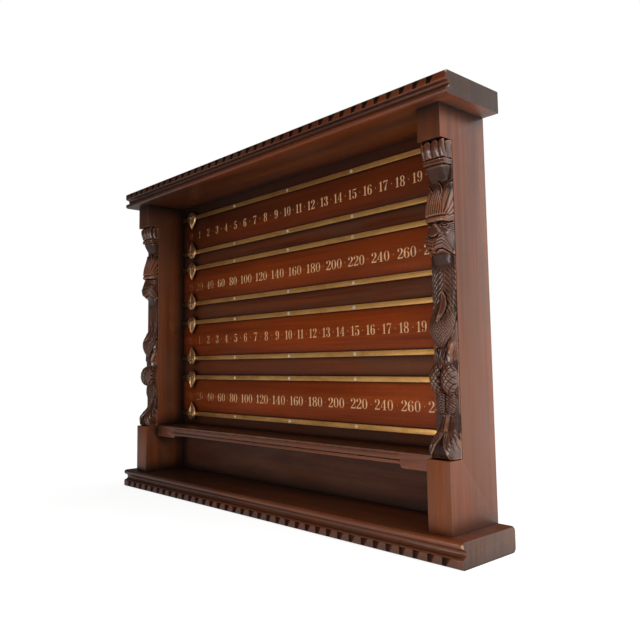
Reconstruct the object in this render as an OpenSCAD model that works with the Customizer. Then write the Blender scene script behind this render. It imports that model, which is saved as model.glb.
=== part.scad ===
// Wall-hung snooker scoreboard: a mahogany case with a carved figure on each
// upright, four numbered strips, eight brass rails and eight sliding pointers.
// Millimetres. The origin is at the middle of the underside, +X is to the right
// as seen from the front, the wall is at the +Y side and +Z is up.

/* [Case] */
// Length of the cornice and of the base, end to end
board_w = 1122; // [1090:1:1300]
// Width over the outer faces of the two uprights
case_w = 1056; // [1040:1:1070]
// Height from the underside of the base to the top of the cornice
case_h = 807; // [795:1:900]
// Depth of the cornice from the wall
cornice_d = 154; // [146:1:175]
// Depth of the base from the wall
base_d = 150; // [142:1:154]

/* [Mouldings] */
// Height of the carved moulding of the cornice
cornice_carved_h = 17; // [12:0.5:20]
// Height of the hollow of the cornice
cornice_cove_h = 11; // [8:0.5:14]
// Height of the half round of the cornice
cornice_bead_h = 12; // [8:0.5:16]
// Height of the carved moulding of the base
base_carved_h = 18; // [12:0.5:20]
// Height of the hollow of the base
base_cove_h = 13; // [8:0.5:15]
// Height of the half round of the base
base_bead_h = 12; // [9:0.5:16]
// How far a hollow is sunk behind the mouldings above and below it
cove_sink = 10; // [7:0.5:12]
// Radius of the rounded corners of a carved moulding
carved_round = 4.5; // [2:0.5:5.5]
// Spacing of the chip cuts along a carved moulding
chip_pitch = 30.2; // [26:0.1:40]
// Width of one chip cut
chip_w = 17; // [10:0.5:22]
// Depth of one chip cut
chip_d = 7; // [3:0.5:8]

/* [Uprights] */
// Thickness of an upright
upright_t = 50; // [46:1:56]
// Depth of an upright from the wall
upright_d = 130; // [122:1:134]
// Depth of the recess that holds the carved figure
recess_d = 33; // [28:1:38]
// Height of the plain block above the recess
top_block_h = 61; // [40:1:70]
// Height of the plain block below the recess
bottom_block_h = 119; // [110:1:122]

/* [Carved figures] */
// Thickness of the ground that the figure stands on
figure_ground = 4; // [3:0.5:5]
// Greatest relief of the figure above its ground
figure_relief = 27; // [20:1:28]

/* [Shelf] */
// Clear height of the ball compartment under the ends of the shelf
compartment_h = 92; // [80:1:94]
// Thickness of the thicker ends of the shelf
shelf_end_t = 28; // [25:1:32]
// Thickness of the shelf between its ends
shelf_mid_t = 21; // [16:1:24]
// Length of each thicker end, from the upright
shelf_end_w = 88; // [60:1:120]
// How deep the shelf is housed in each upright
housing_d = 6; // [4:1:8]

/* [Back] */
// Thickness of the back boards
panel_t = 10; // [8:0.5:12]
// Width of the rebate in each upright that takes the back boards
rebate_w = 12; // [11:1:14]
// Air gap between the back boards and the wall
wall_gap = 2.5; // [1:0.5:4]

/* [Number strips] */
// Thickness of a number strip
strip_t = 4.5; // [3:0.5:6]
// Rise of the lowest strip's middle, as a share of the height above the shelf
first_strip_share = 0.13; // [0.126:0.001:0.136]
// Spacing of the three lower strips, as a share of that height
strip_pitch_share = 0.2484; // [0.245:0.0005:0.25]
// Spacing of the two upper strips, as a share of that height
top_pitch_share = 0.2368; // [0.234:0.0005:0.24]
// Half the distance between a strip's two rails, as a share of that height
rail_offset_share = 0.0811; // [0.078:0.0005:0.082]

/* [Rails and pointers] */
// Height of a rail's face
rail_h = 11; // [9.5:0.5:12]
// Thickness of a rail's face
rail_face_t = 2; // [1.5:0.25:3]
// Height of a rail's foot
rail_foot_h = 6; // [5:0.5:6.5]
// Thickness of a rail's foot
rail_foot_t = 3; // [2.5:0.25:4]
// Gap between the end of a rail and the upright
rail_end_gap = 3; // [1:0.5:5]
// Length of a pointer from the rail's middle to its tip
pointer_tip = 31; // [28:0.5:32]
// Length of a pointer from the rail's middle to its tail
pointer_tail = 17.5; // [16:0.5:18]
// Half the width of a pointer
pointer_half_w = 19.5; // [16:0.5:21]
// Height of a pointer's modelled face above its back
pointer_relief = 8; // [5:0.5:10]
// Length of a pointer's grip along the rail
grip_w = 18; // [12:1:20]
// Thickness of the lips that hold a pointer on its rail
lip_t = 1.5; // [1:0.1:1.6]
// Clearance between a pointer's grip and its rail
slide_gap = 0.3; // [0.2:0.05:0.4]
// Gap between a pointer at rest and the left upright
rest_gap = 34.5; // [20:0.5:60]

/* [Fixings] */
// Screws along one rail
rail_screw_count = 5; // [4:1:6]
// Spacing of the screws along a rail, as a share of the width between uprights
rail_screw_share = 0.225; // [0.16:0.005:0.23]
// Shift of the row of rail screws to the left
rail_screw_shift = 8.5; // [0:0.5:9]
// Radius of a screw's shank
screw_r = 1.75; // [1.4:0.05:2]
// Radius of a screw's head
head_r = 4; // [3.4:0.1:4.4]
// Height of a screw's countersunk head
head_h = 2.2; // [1.8:0.1:2.6]
// Radial clearance of a screw or a dowel in its hole
hole_gap = 0.1; // [0.05:0.01:0.15]
// Radius of a dowel
dowel_r = 6; // [5:0.5:7]
// Length of a dowel, half of it in each piece
dowel_l = 50; // [36:1:56]
// Length of a panel screw
panel_screw_l = 22; // [18:1:30]
// Distance of the first and last screw of a back board from its ends
panel_screw_inset = 24; // [18:1:30]
// Distance of the lower back board's screws from the base and the shelf
lower_screw_inset = 16; // [14:1:20]
// Distance of the front dowels behind the recess
front_dowel_inset = 14; // [11:1:18]
// Distance of the rear dowels from the wall
rear_dowel_inset = 40; // [34:1:46]

/* [Hangers] */
// Width of a hanger plate
hanger_w = 28; // [22:1:30]
// Height of a hanger plate
hanger_h = 62; // [60:1:80]
// Thickness of a hanger plate
hanger_t = 2; // [1.5:0.25:3]
// Radius of the round mouth of the keyhole
keyhole_r = 5; // [4.5:0.25:6]
// Half the width of the keyhole's slot
keyhole_slot_r = 2.6; // [2:0.1:2.8]
// Rise of the keyhole's slot above its mouth
keyhole_rise = 13; // [10:1:16]
// Depth of the pocket behind the keyhole
hanger_pocket_d = 9; // [6:1:14]
// Height of the keyhole's mouth below the cornice
hanger_drop = 84; // [75:1:160]
// Length of a hanger's screw
hanger_screw_l = 18; // [14:1:24]
// Distance of a hanger's lower screw from the plate's lower end
hanger_screw_inset = 7; // [5.5:0.5:9]

/* [Hidden] */
$fn = 48;
fit = 0.1;
cornice_t = cornice_carved_h + cornice_cove_h + cornice_bead_h;
base_t = base_carved_h + base_cove_h + base_bead_h;
wall_y = cornice_d / 2;
cornice_z = case_h - cornice_t;
inner_x = case_w / 2 - upright_t;
upright_x = case_w / 2 - upright_t / 2;
upright_y = wall_y - upright_d;
recess_y = upright_y + recess_d;
recess_z0 = base_t + bottom_block_h;
recess_z1 = cornice_z - top_block_h;
panel_back_y = wall_y - wall_gap;
panel_y = panel_back_y - panel_t;
strip_y = panel_y - strip_t;
rail_back_y = strip_y - rail_foot_t;
rail_y = rail_back_y - rail_face_t;
shelf_bottom_z = base_t + compartment_h;
shelf_z = shelf_bottom_z + shelf_end_t;
panel_joint_z = shelf_z - shelf_mid_t / 2;
room_h = cornice_z - shelf_z;
rail_offset = room_h * rail_offset_share;
strip_h = 2 * rail_offset + rail_h;
strip_4_z = shelf_z + room_h * first_strip_share;
strip_3_z = strip_4_z + room_h * strip_pitch_share;
strip_2_z = strip_3_z + room_h * strip_pitch_share;
strip_1_z = strip_2_z + room_h * top_pitch_share;
strip_zs = [strip_1_z, strip_2_z, strip_3_z, strip_4_z];
rail_xs = [for (i = [0 : rail_screw_count - 1])
    (i - (rail_screw_count - 1) / 2) * 2 * inner_x * rail_screw_share - rail_screw_shift];
rail_screw_l = strip_y - rail_y + strip_t + 0.7 * panel_t;
pointer_x = -inner_x + rest_gap + pointer_half_w;
panel_screw_x = inner_x + rebate_w / 2;
panel_screw_zs = [for (i = [0 : 4]) panel_joint_z + panel_screw_inset
    + i * (cornice_z - panel_joint_z - 2 * panel_screw_inset) / 4];
lower_screw_zs = [base_t + lower_screw_inset, shelf_bottom_z - lower_screw_inset];
shelf_screw_xs = [for (i = [-2 : 2]) i * inner_x * 0.42];
shelf_screw_z = shelf_z - shelf_mid_t / 4;
dowel_ys = [recess_y + front_dowel_inset, wall_y - rear_dowel_inset];
hanger_x = case_w / 2 - (upright_t - rebate_w) / 2;
hanger_z = cornice_z - hanger_drop;
hanger_top = keyhole_rise + keyhole_slot_r + 12;

// A box given by its two opposite corners
module box(low, high) {
    translate(low) cube(high - low);
}

// A profile drawn in depth and height, run along the board
module run_along_x(length) {
    rotate([90, 0, 90]) linear_extrude(length, center = true) children();
}

// A hole or a shank along the depth, from one depth to another
module bar_y(x, z, r, y0, y1) {
    translate([x, y1, z]) rotate([90, 0, 0]) cylinder(r = r, h = y1 - y0);
}

// Depth and height of a board's moulded edge: a carved moulding, a hollow and a
// half round, stacked upwards from the underside when flip is 0
module moulded_edge(front, carved_h, cove_h, bead_h, flip) {
    total = carved_h + cove_h + bead_h;
    carved_low = flip ? total - carved_h : 0;
    bead_mid = flip ? bead_h / 2 : total - bead_h / 2;
    cove_mid = flip ? bead_h + cove_h / 2 : carved_h + cove_h / 2;
    cove_r = (cove_sink * cove_sink + cove_h * cove_h / 4) / (2 * cove_sink);
    difference() {
        union() {
            translate([front + carved_h / 2, 0]) square([wall_y - front - carved_h / 2, total]);
            translate([front + carved_round, carved_low]) square([carved_h, carved_h]);
            translate([front, carved_low + carved_round])
                square([carved_h, carved_h - 2 * carved_round]);
            for (z = [carved_low + carved_round, carved_low + carved_h - carved_round])
                translate([front + carved_round, z]) circle(carved_round);
            translate([front + bead_h / 2, bead_mid - bead_h / 2])
                square([carved_h, bead_h]);
            translate([front + bead_h / 2, bead_mid]) circle(bead_h / 2);
        }
        translate([front + cove_sink - cove_r, cove_mid]) circle(cove_r);
        translate([front - 1, cove_mid - cove_h / 2])
            square([cove_sink - cove_r + 1 > 0 ? cove_sink - cove_r + 1 : 0.5, cove_h]);
    }
}

// One chip cut: upright on its left side, sloping out to the right
module chip_cut(x, front, z0, z1) {
    translate([x, front, z0]) linear_extrude(z1 - z0)
        polygon([[-chip_w / 2, -1], [-chip_w / 2, chip_d], [chip_w / 2, 0], [chip_w / 2, -1]]);
}

// Places of the chip cuts, even about the middle of a board
chip_count = 2 * floor((board_w / 2 - chip_pitch / 2) / chip_pitch);
chip_xs = [for (i = [0 : chip_count - 1]) (i - (chip_count - 1) / 2) * chip_pitch];

// Blind bores for the dowels of both uprights, from height z0 to z1
module dowel_bores(z0, z1) {
    for (side = [-1, 1], y = dowel_ys)
        translate([side * upright_x, y, z0]) cylinder(r = dowel_r + hole_gap, h = z1 - z0);
}

module cornice_board() {
    front = wall_y - cornice_d;
    color([0.30, 0.12, 0.07]) difference() {
        translate([0, 0, cornice_z]) run_along_x(board_w)
            moulded_edge(front, cornice_carved_h, cornice_cove_h, cornice_bead_h, 1);
        for (x = chip_xs) chip_cut(x, front, case_h - cornice_carved_h, case_h + 1);
        dowel_bores(cornice_z - 1, cornice_z + dowel_l / 2 + fit);
    }
}

module base_board() {
    front = wall_y - base_d;
    color([0.30, 0.12, 0.07]) difference() {
        run_along_x(board_w)
            moulded_edge(front, base_carved_h, base_cove_h, base_bead_h, 0);
        for (x = chip_xs) chip_cut(x, front, -1, base_carved_h);
        dowel_bores(base_t - dowel_l / 2 - fit, base_t + 1);
    }
}

// The right upright; the left one is its mirror image
module upright() {
    difference() {
        box([inner_x, upright_y, base_t], [case_w / 2, wall_y, cornice_z]);
        box([inner_x - 1, upright_y - 1, recess_z0], [case_w / 2 + 1, recess_y, recess_z1]);
        box([inner_x - 1, panel_y, base_t - 1], [inner_x + rebate_w, wall_y + 1, cornice_z + 1]);
        box([inner_x - 1, recess_y, shelf_bottom_z - fit],
            [inner_x + housing_d, panel_y + 1, shelf_z]);
        dowel_bores(base_t - 1, base_t + dowel_l / 2 + fit);
        dowel_bores(cornice_z - dowel_l / 2 - fit, cornice_z + 1);
        for (z = concat(panel_screw_zs, lower_screw_zs))
            bar_y(panel_screw_x, z, screw_r + hole_gap,
                panel_back_y - panel_screw_l - 1, wall_y + 1);
        box([hanger_x - hanger_w / 2 - fit, wall_y - hanger_t, hanger_z + hanger_top - hanger_h - fit],
            [hanger_x + hanger_w / 2 + fit, wall_y + 1, hanger_z + hanger_top + fit]);
        box([hanger_x - keyhole_r - 2, wall_y - hanger_t - hanger_pocket_d, hanger_z - keyhole_r - 2],
            [hanger_x + keyhole_r + 2, wall_y, hanger_z + keyhole_rise + keyhole_r]);
        for (z = hanger_screw_zs) bar_y(hanger_x, z, screw_r + hole_gap,
            wall_y - hanger_screw_l - 1, wall_y + 1);
    }
}

module right_upright() {
    color([0.34, 0.15, 0.09]) upright();
}

module left_upright() {
    color([0.34, 0.15, 0.09]) mirror([1, 0, 0]) upright();
}

// The carved figure stands in the recess. Its forms are set out in shares of
// its own height, half width and relief: 0 is the foot and 1 the top.
figure_h = recess_z1 - recess_z0;
figure_half_w = upright_t / 2;
figure_cols = 16;
figure_rows = 108;

// Relief and half width of the figure's trunk, from the foot to the capital
trunk_relief = [[0, 0.93], [0.022, 0.99], [0.037, 0.90], [0.051, 0.66], [0.070, 0.32],
    [0.088, 0.17], [0.110, 0.10], [0.184, 0.10], [0.290, 0.20], [0.309, 0.33],
    [0.336, 0.22], [0.346, 0.44], [0.360, 0.64], [0.382, 0.77], [0.404, 0.74],
    [0.430, 0.62], [0.463, 0.46], [0.482, 0.35], [0.504, 0.25], [0.529, 0.16],
    [0.585, 0.13], [0.616, 0.20], [0.632, 0.34], [0.641, 0.62], [0.652, 0.80],
    [0.665, 0.98], [0.682, 0.96], [0.704, 0.88], [0.724, 0.80], [0.737, 0.76],
    [0.740, 0.90], [0.750, 0.92], [0.790, 0.70], [0.831, 0.40], [0.857, 0.24],
    [0.871, 0.18], [0.886, 0.34], [0.904, 0.56], [0.918, 0.66], [0.921, 0.75],
    [0.937, 0.75], [0.941, 0.70], [0.963, 0.93], [0.982, 0.95], [0.994, 0.84], [1, 0.70]];
trunk_half_w = [[0, 0.98], [0.037, 0.93], [0.051, 0.84], [0.070, 0.62], [0.088, 0.48],
    [0.110, 0.36], [0.184, 0.30], [0.309, 0.34], [0.340, 0.28], [0.360, 0.50],
    [0.382, 0.72], [0.404, 0.82], [0.445, 0.80], [0.482, 0.86], [0.529, 0.90],
    [0.585, 0.86], [0.625, 0.72], [0.652, 0.84], [0.682, 0.91], [0.735, 0.92],
    [0.740, 0.96], [0.790, 0.93], [0.831, 0.82], [0.871, 0.64], [0.904, 0.80],
    [0.921, 0.90], [0.963, 0.95], [1, 0.98]];
trunk_square = [[0, 5], [0.051, 3], [0.904, 3], [0.930, 6], [1, 6]];

// Rounded forms: height, place across, half height, half width, relief
domes = [
    [0.667, 0.00, 0.030, 0.55, 1.00],   // nose
    [0.640, 0.55, 0.050, 0.26, 0.80],   // curl of the upper lip
    [0.605, 0.78, 0.045, 0.18, 0.42],   // end of the curl
    [0.360, 0.60, 0.062, 0.36, 0.45],   // side leaf
    [0.246, 0.48, 0.050, 0.49, 0.92],   // large fruit
    [0.175, 0.42, 0.042, 0.44, 0.36]];  // small fruit

function trunk_at(s, x) =
    let (w = lookup(s, trunk_half_w), n = lookup(s, trunk_square))
    lookup(s, trunk_relief) * pow(1 - pow(min(1, abs(x) / w), n), 1 / n);
function dome_at(f, s, x) =
    let (q = 1 - pow((s - f[0]) / f[2], 2) - pow((abs(x) - f[1]) / f[3], 2))
    q > 0 ? f[4] * sqrt(q) : 0;
function relief_at(s, x) = max(concat([trunk_at(s, x)], [for (f = domes) dome_at(f, s, x)]));

// The figure as one closed relief, seen from the front at the origin
module figure() {
    cols = figure_cols;
    rows = figure_rows;
    last = cols - 1;
    grid = [for (j = [0 : rows], i = [0 : cols - 1])
        let (x = -1 + 2 * i / last, s = j / rows)
        [x * (figure_half_w - fit), -figure_ground - figure_relief * relief_at(s, x * 0.97),
            fit + s * (figure_h - 2 * fit)]];
    left = [for (j = [0 : rows]) [-figure_half_w + fit, 0, grid[j * cols][2]]];
    right = [for (j = [0 : rows]) [figure_half_w - fit, 0, grid[j * cols][2]]];
    l = len(grid);
    r = l + rows + 1;
    top = rows * cols;
    steps = [0 : rows - 1];
    polyhedron(points = concat(grid, left, right), faces = concat(
        [for (j = steps, i = [0 : last - 1]) let (k = j * cols + i) [k, k + cols, k + cols + 1]],
        [for (j = steps, i = [0 : last - 1]) let (k = j * cols + i) [k, k + cols + 1, k + 1]],
        [for (j = steps) [l + j, l + j + 1, (j + 1) * cols, j * cols]],
        [for (j = steps) [j * cols + last, (j + 1) * cols + last, r + j + 1, r + j]],
        [for (j = steps) [r + j, r + j + 1, l + j + 1, l + j]],
        [for (i = [0 : last - 1]) [l, i, i + 1]],
        [for (i = [0 : last - 1]) [l + rows, top + i + 1, top + i]],
        [[l, last, r], [l + rows, r + rows, top + last]]), convexity = 6);
}

module left_carving() {
    color([0.24, 0.09, 0.06]) translate([-upright_x, recess_y, recess_z0]) figure();
}

module right_carving() {
    color([0.24, 0.09, 0.06]) translate([upright_x, recess_y, recess_z0]) figure();
}

// Countersunk screws in the back boards, all driven from the wall side
module panel_screw_holes(z0, z1) {
    for (side = [-1, 1], z = concat(panel_screw_zs, lower_screw_zs))
        if (z > z0 && z < z1) screw_hole_back(side * panel_screw_x, z, panel_y - 1);
    for (x = shelf_screw_xs)
        if (shelf_screw_z > z0 && shelf_screw_z < z1) screw_hole_back(x, shelf_screw_z, panel_y - 1);
}

// A clearance hole with its countersink in the back face of the back boards
module screw_hole_back(x, z, y0) {
    bar_y(x, z, screw_r + hole_gap, y0, panel_back_y + 1);
    translate([x, panel_back_y + 0.01, z]) rotate([90, 0, 0])
        cylinder(r1 = head_r + hole_gap, r2 = screw_r + hole_gap, h = head_h + hole_gap);
}

module scoring_panel() {
    color([0.17, 0.07, 0.045]) difference() {
        box([-inner_x - rebate_w + fit, panel_y, panel_joint_z],
            [inner_x + rebate_w - fit, panel_back_y, cornice_z]);
        panel_screw_holes(panel_joint_z, cornice_z);
        for (zs = strip_zs, side = [-1, 1], x = rail_xs)
            bar_y(x, zs + side * rail_offset, screw_r + hole_gap,
                panel_y - 1, rail_y + rail_screw_l + fit);
    }
}

module lower_back_board() {
    color([0.17, 0.07, 0.045]) difference() {
        box([-inner_x - rebate_w + fit, panel_y, base_t],
            [inner_x + rebate_w - fit, panel_back_y, panel_joint_z]);
        panel_screw_holes(base_t, panel_joint_z);
    }
}

// The shelf: reeded along the middle of its front edge, thicker at both ends
module shelf() {
    end_x = inner_x - shelf_end_w;
    ogee = shelf_end_t - shelf_mid_t;
    reed_r = shelf_mid_t / 6;
    color([0.28, 0.11, 0.07]) difference() {
        union() {
            box([-inner_x - housing_d + fit, recess_y, shelf_z - shelf_mid_t],
                [inner_x + housing_d - fit, panel_y, shelf_z]);
            for (side = [-1, 1]) mirror([side < 0 ? 1 : 0, 0, 0]) {
                box([end_x + ogee, recess_y, shelf_bottom_z],
                    [inner_x + housing_d - fit, panel_y, shelf_z]);
                translate([end_x + ogee, panel_y, shelf_bottom_z + ogee]) rotate([90, 0, 0])
                    cylinder(r = ogee, h = panel_y - recess_y);
            }
        }
        for (z = [shelf_z - shelf_mid_t / 3, shelf_z - 2 * shelf_mid_t / 3])
            translate([0, recess_y, z]) run_along_x(2 * end_x)
                polygon([[-1, -reed_r / 2], [reed_r / 2, 0], [-1, reed_r / 2]]);
        for (x = shelf_screw_xs) bar_y(x, shelf_screw_z, screw_r + hole_gap,
            panel_back_y - panel_screw_l - 1, panel_y + 1);
    }
}

module number_strip(zc) {
    color([0.45, 0.17, 0.07]) difference() {
        box([-inner_x + fit, strip_y, zc - strip_h / 2], [inner_x - fit, panel_y, zc + strip_h / 2]);
        for (side = [-1, 1], x = rail_xs)
            bar_y(x, zc + side * rail_offset, screw_r + hole_gap, strip_y - 1, panel_y + 1);
    }
}

module number_strip_1() { number_strip(strip_1_z); }
module number_strip_2() { number_strip(strip_2_z); }
module number_strip_3() { number_strip(strip_3_z); }
module number_strip_4() { number_strip(strip_4_z); }

// A brass rail of T section: a narrow foot on the strip and a wider face
module rail(z) {
    half = inner_x - rail_end_gap;
    color([0.72, 0.55, 0.28]) difference() {
        union() {
            box([-half, rail_y, z - rail_h / 2], [half, rail_back_y, z + rail_h / 2]);
            box([-half, rail_back_y, z - rail_foot_h / 2], [half, strip_y, z + rail_foot_h / 2]);
        }
        for (x = rail_xs) {
            bar_y(x, z, screw_r + hole_gap, rail_y - 1, strip_y + 1);
            translate([x, rail_y - 0.01, z]) rotate([-90, 0, 0])
                cylinder(r1 = head_r + hole_gap, r2 = screw_r + hole_gap, h = head_h + hole_gap);
        }
    }
}

module upper_rail_1() { rail(strip_1_z + rail_offset); }
module lower_rail_1() { rail(strip_1_z - rail_offset); }
module upper_rail_2() { rail(strip_2_z + rail_offset); }
module lower_rail_2() { rail(strip_2_z - rail_offset); }
module upper_rail_3() { rail(strip_3_z + rail_offset); }
module lower_rail_3() { rail(strip_3_z - rail_offset); }
module upper_rail_4() { rail(strip_4_z + rail_offset); }
module lower_rail_4() { rail(strip_4_z - rail_offset); }

// A countersunk screw with a slotted head at the origin, its shank along +Y
module screw(length) {
    rotate([-90, 0, 0]) difference() {
        union() {
            cylinder(r1 = head_r, r2 = screw_r, h = head_h);
            cylinder(r = screw_r, h = length - 2);
            translate([0, 0, length - 2]) cylinder(r1 = screw_r, r2 = screw_r / 3, h = 2);
        }
        translate([-head_r - 1, -0.45, -1]) cube([2 * head_r + 2, 0.9, 1.8]);
    }
}

module rail_screws() {
    color([0.62, 0.47, 0.24])
        for (zs = strip_zs, side = [-1, 1], x = rail_xs)
            translate([x, rail_y + 0.05, zs + side * rail_offset]) screw(rail_screw_l - 0.1);
}

module panel_screws() {
    color([0.42, 0.38, 0.33]) {
        for (side = [-1, 1], z = concat(panel_screw_zs, lower_screw_zs))
            translate([side * panel_screw_x, panel_back_y - 0.05, z]) rotate([0, 0, 180])
                screw(panel_screw_l);
        for (x = shelf_screw_xs)
            translate([x, panel_back_y - 0.05, shelf_screw_z]) rotate([0, 0, 180])
                screw(panel_screw_l);
    }
}

module joint_dowels() {
    color([0.62, 0.45, 0.28]) for (side = [-1, 1], y = dowel_ys, z = [base_t, cornice_z])
        translate([side * upright_x, y, z - dowel_l / 2]) cylinder(r = dowel_r, h = dowel_l);
}

// Right half of the pointer's outline from tip to tail, in shares of its half
// width and of its reach to the tip or to the tail
spade_shares = [[0, 1], [0.15, 0.90], [0.34, 0.775], [0.51, 0.665], [0.67, 0.55],
    [0.82, 0.415], [0.94, 0.255], [1, 0.07], [0.975, -0.19], [0.86, -0.48],
    [0.67, -0.73], [0.41, -0.92], [0.18, -0.99]];
shoulder_z = 3;
half_outline = [for (p = spade_shares)
    [p[0] * pointer_half_w, p[1] * (p[1] > 0 ? pointer_tip : pointer_tail)]];
spade_outline = concat(half_outline,
    [[0, -pointer_tail]], [for (i = [len(half_outline) - 1 : -1 : 1])
        [-half_outline[i][0], half_outline[i][1]]]);

// Share of the outline and height above the back, ring by ring
relief_rings = [[1, 0], [1, 0.36], [0.94, 0.56], [0.76, 0.80], [0.46, 0.95], [0.12, 1]];

// A cast brass pointer whose tip points to +Z when up is 1 and to -Z when up is -1
module pointer(rail_z, up) {
    n = len(spade_outline);
    rings = len(relief_rings);
    back_y = rail_y - slide_gap;
    grip_z = rail_h / 2 + slide_gap;
    lip_y = rail_back_y + slide_gap;
    lip_in = rail_foot_h / 2 + slide_gap + 0.3;
    color([0.78, 0.60, 0.33]) translate([pointer_x, 0, rail_z])
        mirror([0, 0, up < 0 ? 1 : 0]) union() {
            polyhedron(points = [for (r = relief_rings, p = spade_outline)
                [p[0] * r[0], back_y - pointer_relief * r[1],
                    shoulder_z + (p[1] - shoulder_z) * r[0]]],
                faces = concat(
                    [for (k = [0 : rings - 2], i = [0 : n - 1]) let (j = (i + 1) % n)
                        [k * n + i, k * n + j, (k + 1) * n + j]],
                    [for (k = [0 : rings - 2], i = [0 : n - 1]) let (j = (i + 1) % n)
                        [k * n + i, (k + 1) * n + j, (k + 1) * n + i]],
                    [[for (i = [n - 1 : -1 : 0]) i]],
                    [[for (i = [0 : n - 1]) (rings - 1) * n + i]]), convexity = 4);
            for (side = [-1, 1]) mirror([0, 0, side < 0 ? 1 : 0]) {
                box([-grip_w / 2, back_y - 1, grip_z], [grip_w / 2, lip_y + lip_t, grip_z + 2]);
                box([-grip_w / 2, lip_y, lip_in], [grip_w / 2, lip_y + lip_t, grip_z + 1]);
            }
        }
}

module upper_pointer_1() { pointer(strip_1_z + rail_offset, -1); }
module lower_pointer_1() { pointer(strip_1_z - rail_offset, 1); }
module upper_pointer_2() { pointer(strip_2_z + rail_offset, -1); }
module lower_pointer_2() { pointer(strip_2_z - rail_offset, 1); }
module upper_pointer_3() { pointer(strip_3_z + rail_offset, -1); }
module lower_pointer_3() { pointer(strip_3_z - rail_offset, 1); }
module upper_pointer_4() { pointer(strip_4_z + rail_offset, -1); }
module lower_pointer_4() { pointer(strip_4_z - rail_offset, 1); }

// A brass plate with a keyhole, let in flush with the back of an upright
hanger_screw_zs = [hanger_z + hanger_top - hanger_h + hanger_screw_inset,
    hanger_z - keyhole_r - 11];

module hanger() {
    color([0.66, 0.50, 0.26]) difference() {
        box([hanger_x - hanger_w / 2, wall_y - hanger_t, hanger_z + hanger_top - hanger_h],
            [hanger_x + hanger_w / 2, wall_y, hanger_z + hanger_top]);
        bar_y(hanger_x, hanger_z, keyhole_r, wall_y - hanger_t - 1, wall_y + 1);
        box([hanger_x - keyhole_slot_r, wall_y - hanger_t - 1, hanger_z],
            [hanger_x + keyhole_slot_r, wall_y + 1, hanger_z + keyhole_rise]);
        bar_y(hanger_x, hanger_z + keyhole_rise, keyhole_slot_r, wall_y - hanger_t - 1, wall_y + 1);
        for (z = hanger_screw_zs) {
            bar_y(hanger_x, z, screw_r + hole_gap, wall_y - hanger_t - 1, wall_y + 1);
            translate([hanger_x, wall_y + 0.01, z]) rotate([90, 0, 0])
                cylinder(r1 = head_r + hole_gap, r2 = screw_r + hole_gap, h = head_h + hole_gap);
        }
    }
}

module right_hanger() { hanger(); }
module left_hanger() { mirror([1, 0, 0]) hanger(); }

module hanger_screws() {
    color([0.62, 0.47, 0.24]) for (side = [-1, 1], z = hanger_screw_zs)
        translate([side * hanger_x, wall_y - 0.05, z]) rotate([0, 0, 180]) screw(hanger_screw_l);
}

cornice_board();
base_board();
left_upright();
right_upright();
left_carving();
right_carving();
scoring_panel();
lower_back_board();
shelf();
number_strip_1();
number_strip_2();
number_strip_3();
number_strip_4();
upper_rail_1();
lower_rail_1();
upper_rail_2();
lower_rail_2();
upper_rail_3();
lower_rail_3();
upper_rail_4();
lower_rail_4();
upper_pointer_1();
lower_pointer_1();
upper_pointer_2();
lower_pointer_2();
upper_pointer_3();
lower_pointer_3();
upper_pointer_4();
lower_pointer_4();
rail_screws();
panel_screws();
joint_dowels();
left_hanger();
right_hanger();
hanger_screws();
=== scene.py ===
import bpy
import math
import random
import numpy as np
from mathutils import Matrix, Vector


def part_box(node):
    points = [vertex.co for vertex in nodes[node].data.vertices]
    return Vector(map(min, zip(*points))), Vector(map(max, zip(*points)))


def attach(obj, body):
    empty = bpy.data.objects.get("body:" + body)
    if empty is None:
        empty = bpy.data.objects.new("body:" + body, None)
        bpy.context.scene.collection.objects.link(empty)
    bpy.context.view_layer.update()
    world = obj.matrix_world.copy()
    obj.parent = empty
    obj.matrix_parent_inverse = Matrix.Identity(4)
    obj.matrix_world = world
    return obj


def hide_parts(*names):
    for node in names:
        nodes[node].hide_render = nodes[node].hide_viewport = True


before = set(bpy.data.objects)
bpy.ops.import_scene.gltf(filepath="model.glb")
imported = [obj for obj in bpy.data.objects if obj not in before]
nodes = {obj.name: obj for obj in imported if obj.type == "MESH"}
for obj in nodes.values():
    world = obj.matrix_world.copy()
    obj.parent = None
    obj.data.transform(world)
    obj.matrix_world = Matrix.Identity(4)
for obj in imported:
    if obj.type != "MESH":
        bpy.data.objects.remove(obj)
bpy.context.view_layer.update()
print("stage: frame loaded,", len(nodes), "nodes")


# Small helpers that every piece uses

def clearSelection():
    if bpy.context.object and bpy.context.object.mode != "OBJECT":
        objectMode()
    bpy.ops.object.select_all(action="DESELECT")


def objectMode():
    bpy.ops.object.mode_set(mode="OBJECT")


def editMode(choose=None, kind=None):  # choose is SELECT for all of the piece or DESELECT for none
    bpy.ops.object.mode_set(mode="EDIT")
    if kind:
        bpy.ops.mesh.select_mode(type=kind)
    if choose:
        bpy.ops.mesh.select_all(action=choose)


def pick(piece):
    clearSelection()
    piece.select_set(True)
    bpy.context.view_layer.objects.active = piece


def settle(piece):
    pick(piece)
    bpy.ops.object.transform_apply(location=True, rotation=True, scale=True)


def applyModifiers(piece):
    pick(piece)
    for modifier in list(piece.modifiers):
        bpy.ops.object.modifier_apply(modifier=modifier.name)


def block(name, low, high):  # a cube at its size and place, shaped further by its caller
    clearSelection()
    bpy.ops.mesh.primitive_cube_add(size=1, location=[(a + b) / 2 for a, b in zip(low, high)])
    piece = bpy.context.object
    piece.name = name
    piece.scale = [b - a for a, b in zip(low, high)]
    settle(piece)
    return piece


def joinAll(name, pieces):
    clearSelection()
    for piece in pieces:
        piece.select_set(True)
    bpy.context.view_layer.objects.active = pieces[0]
    if len(pieces) > 1:
        bpy.ops.object.join()
    joined = bpy.context.object
    joined.name = name
    return joined


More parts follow.
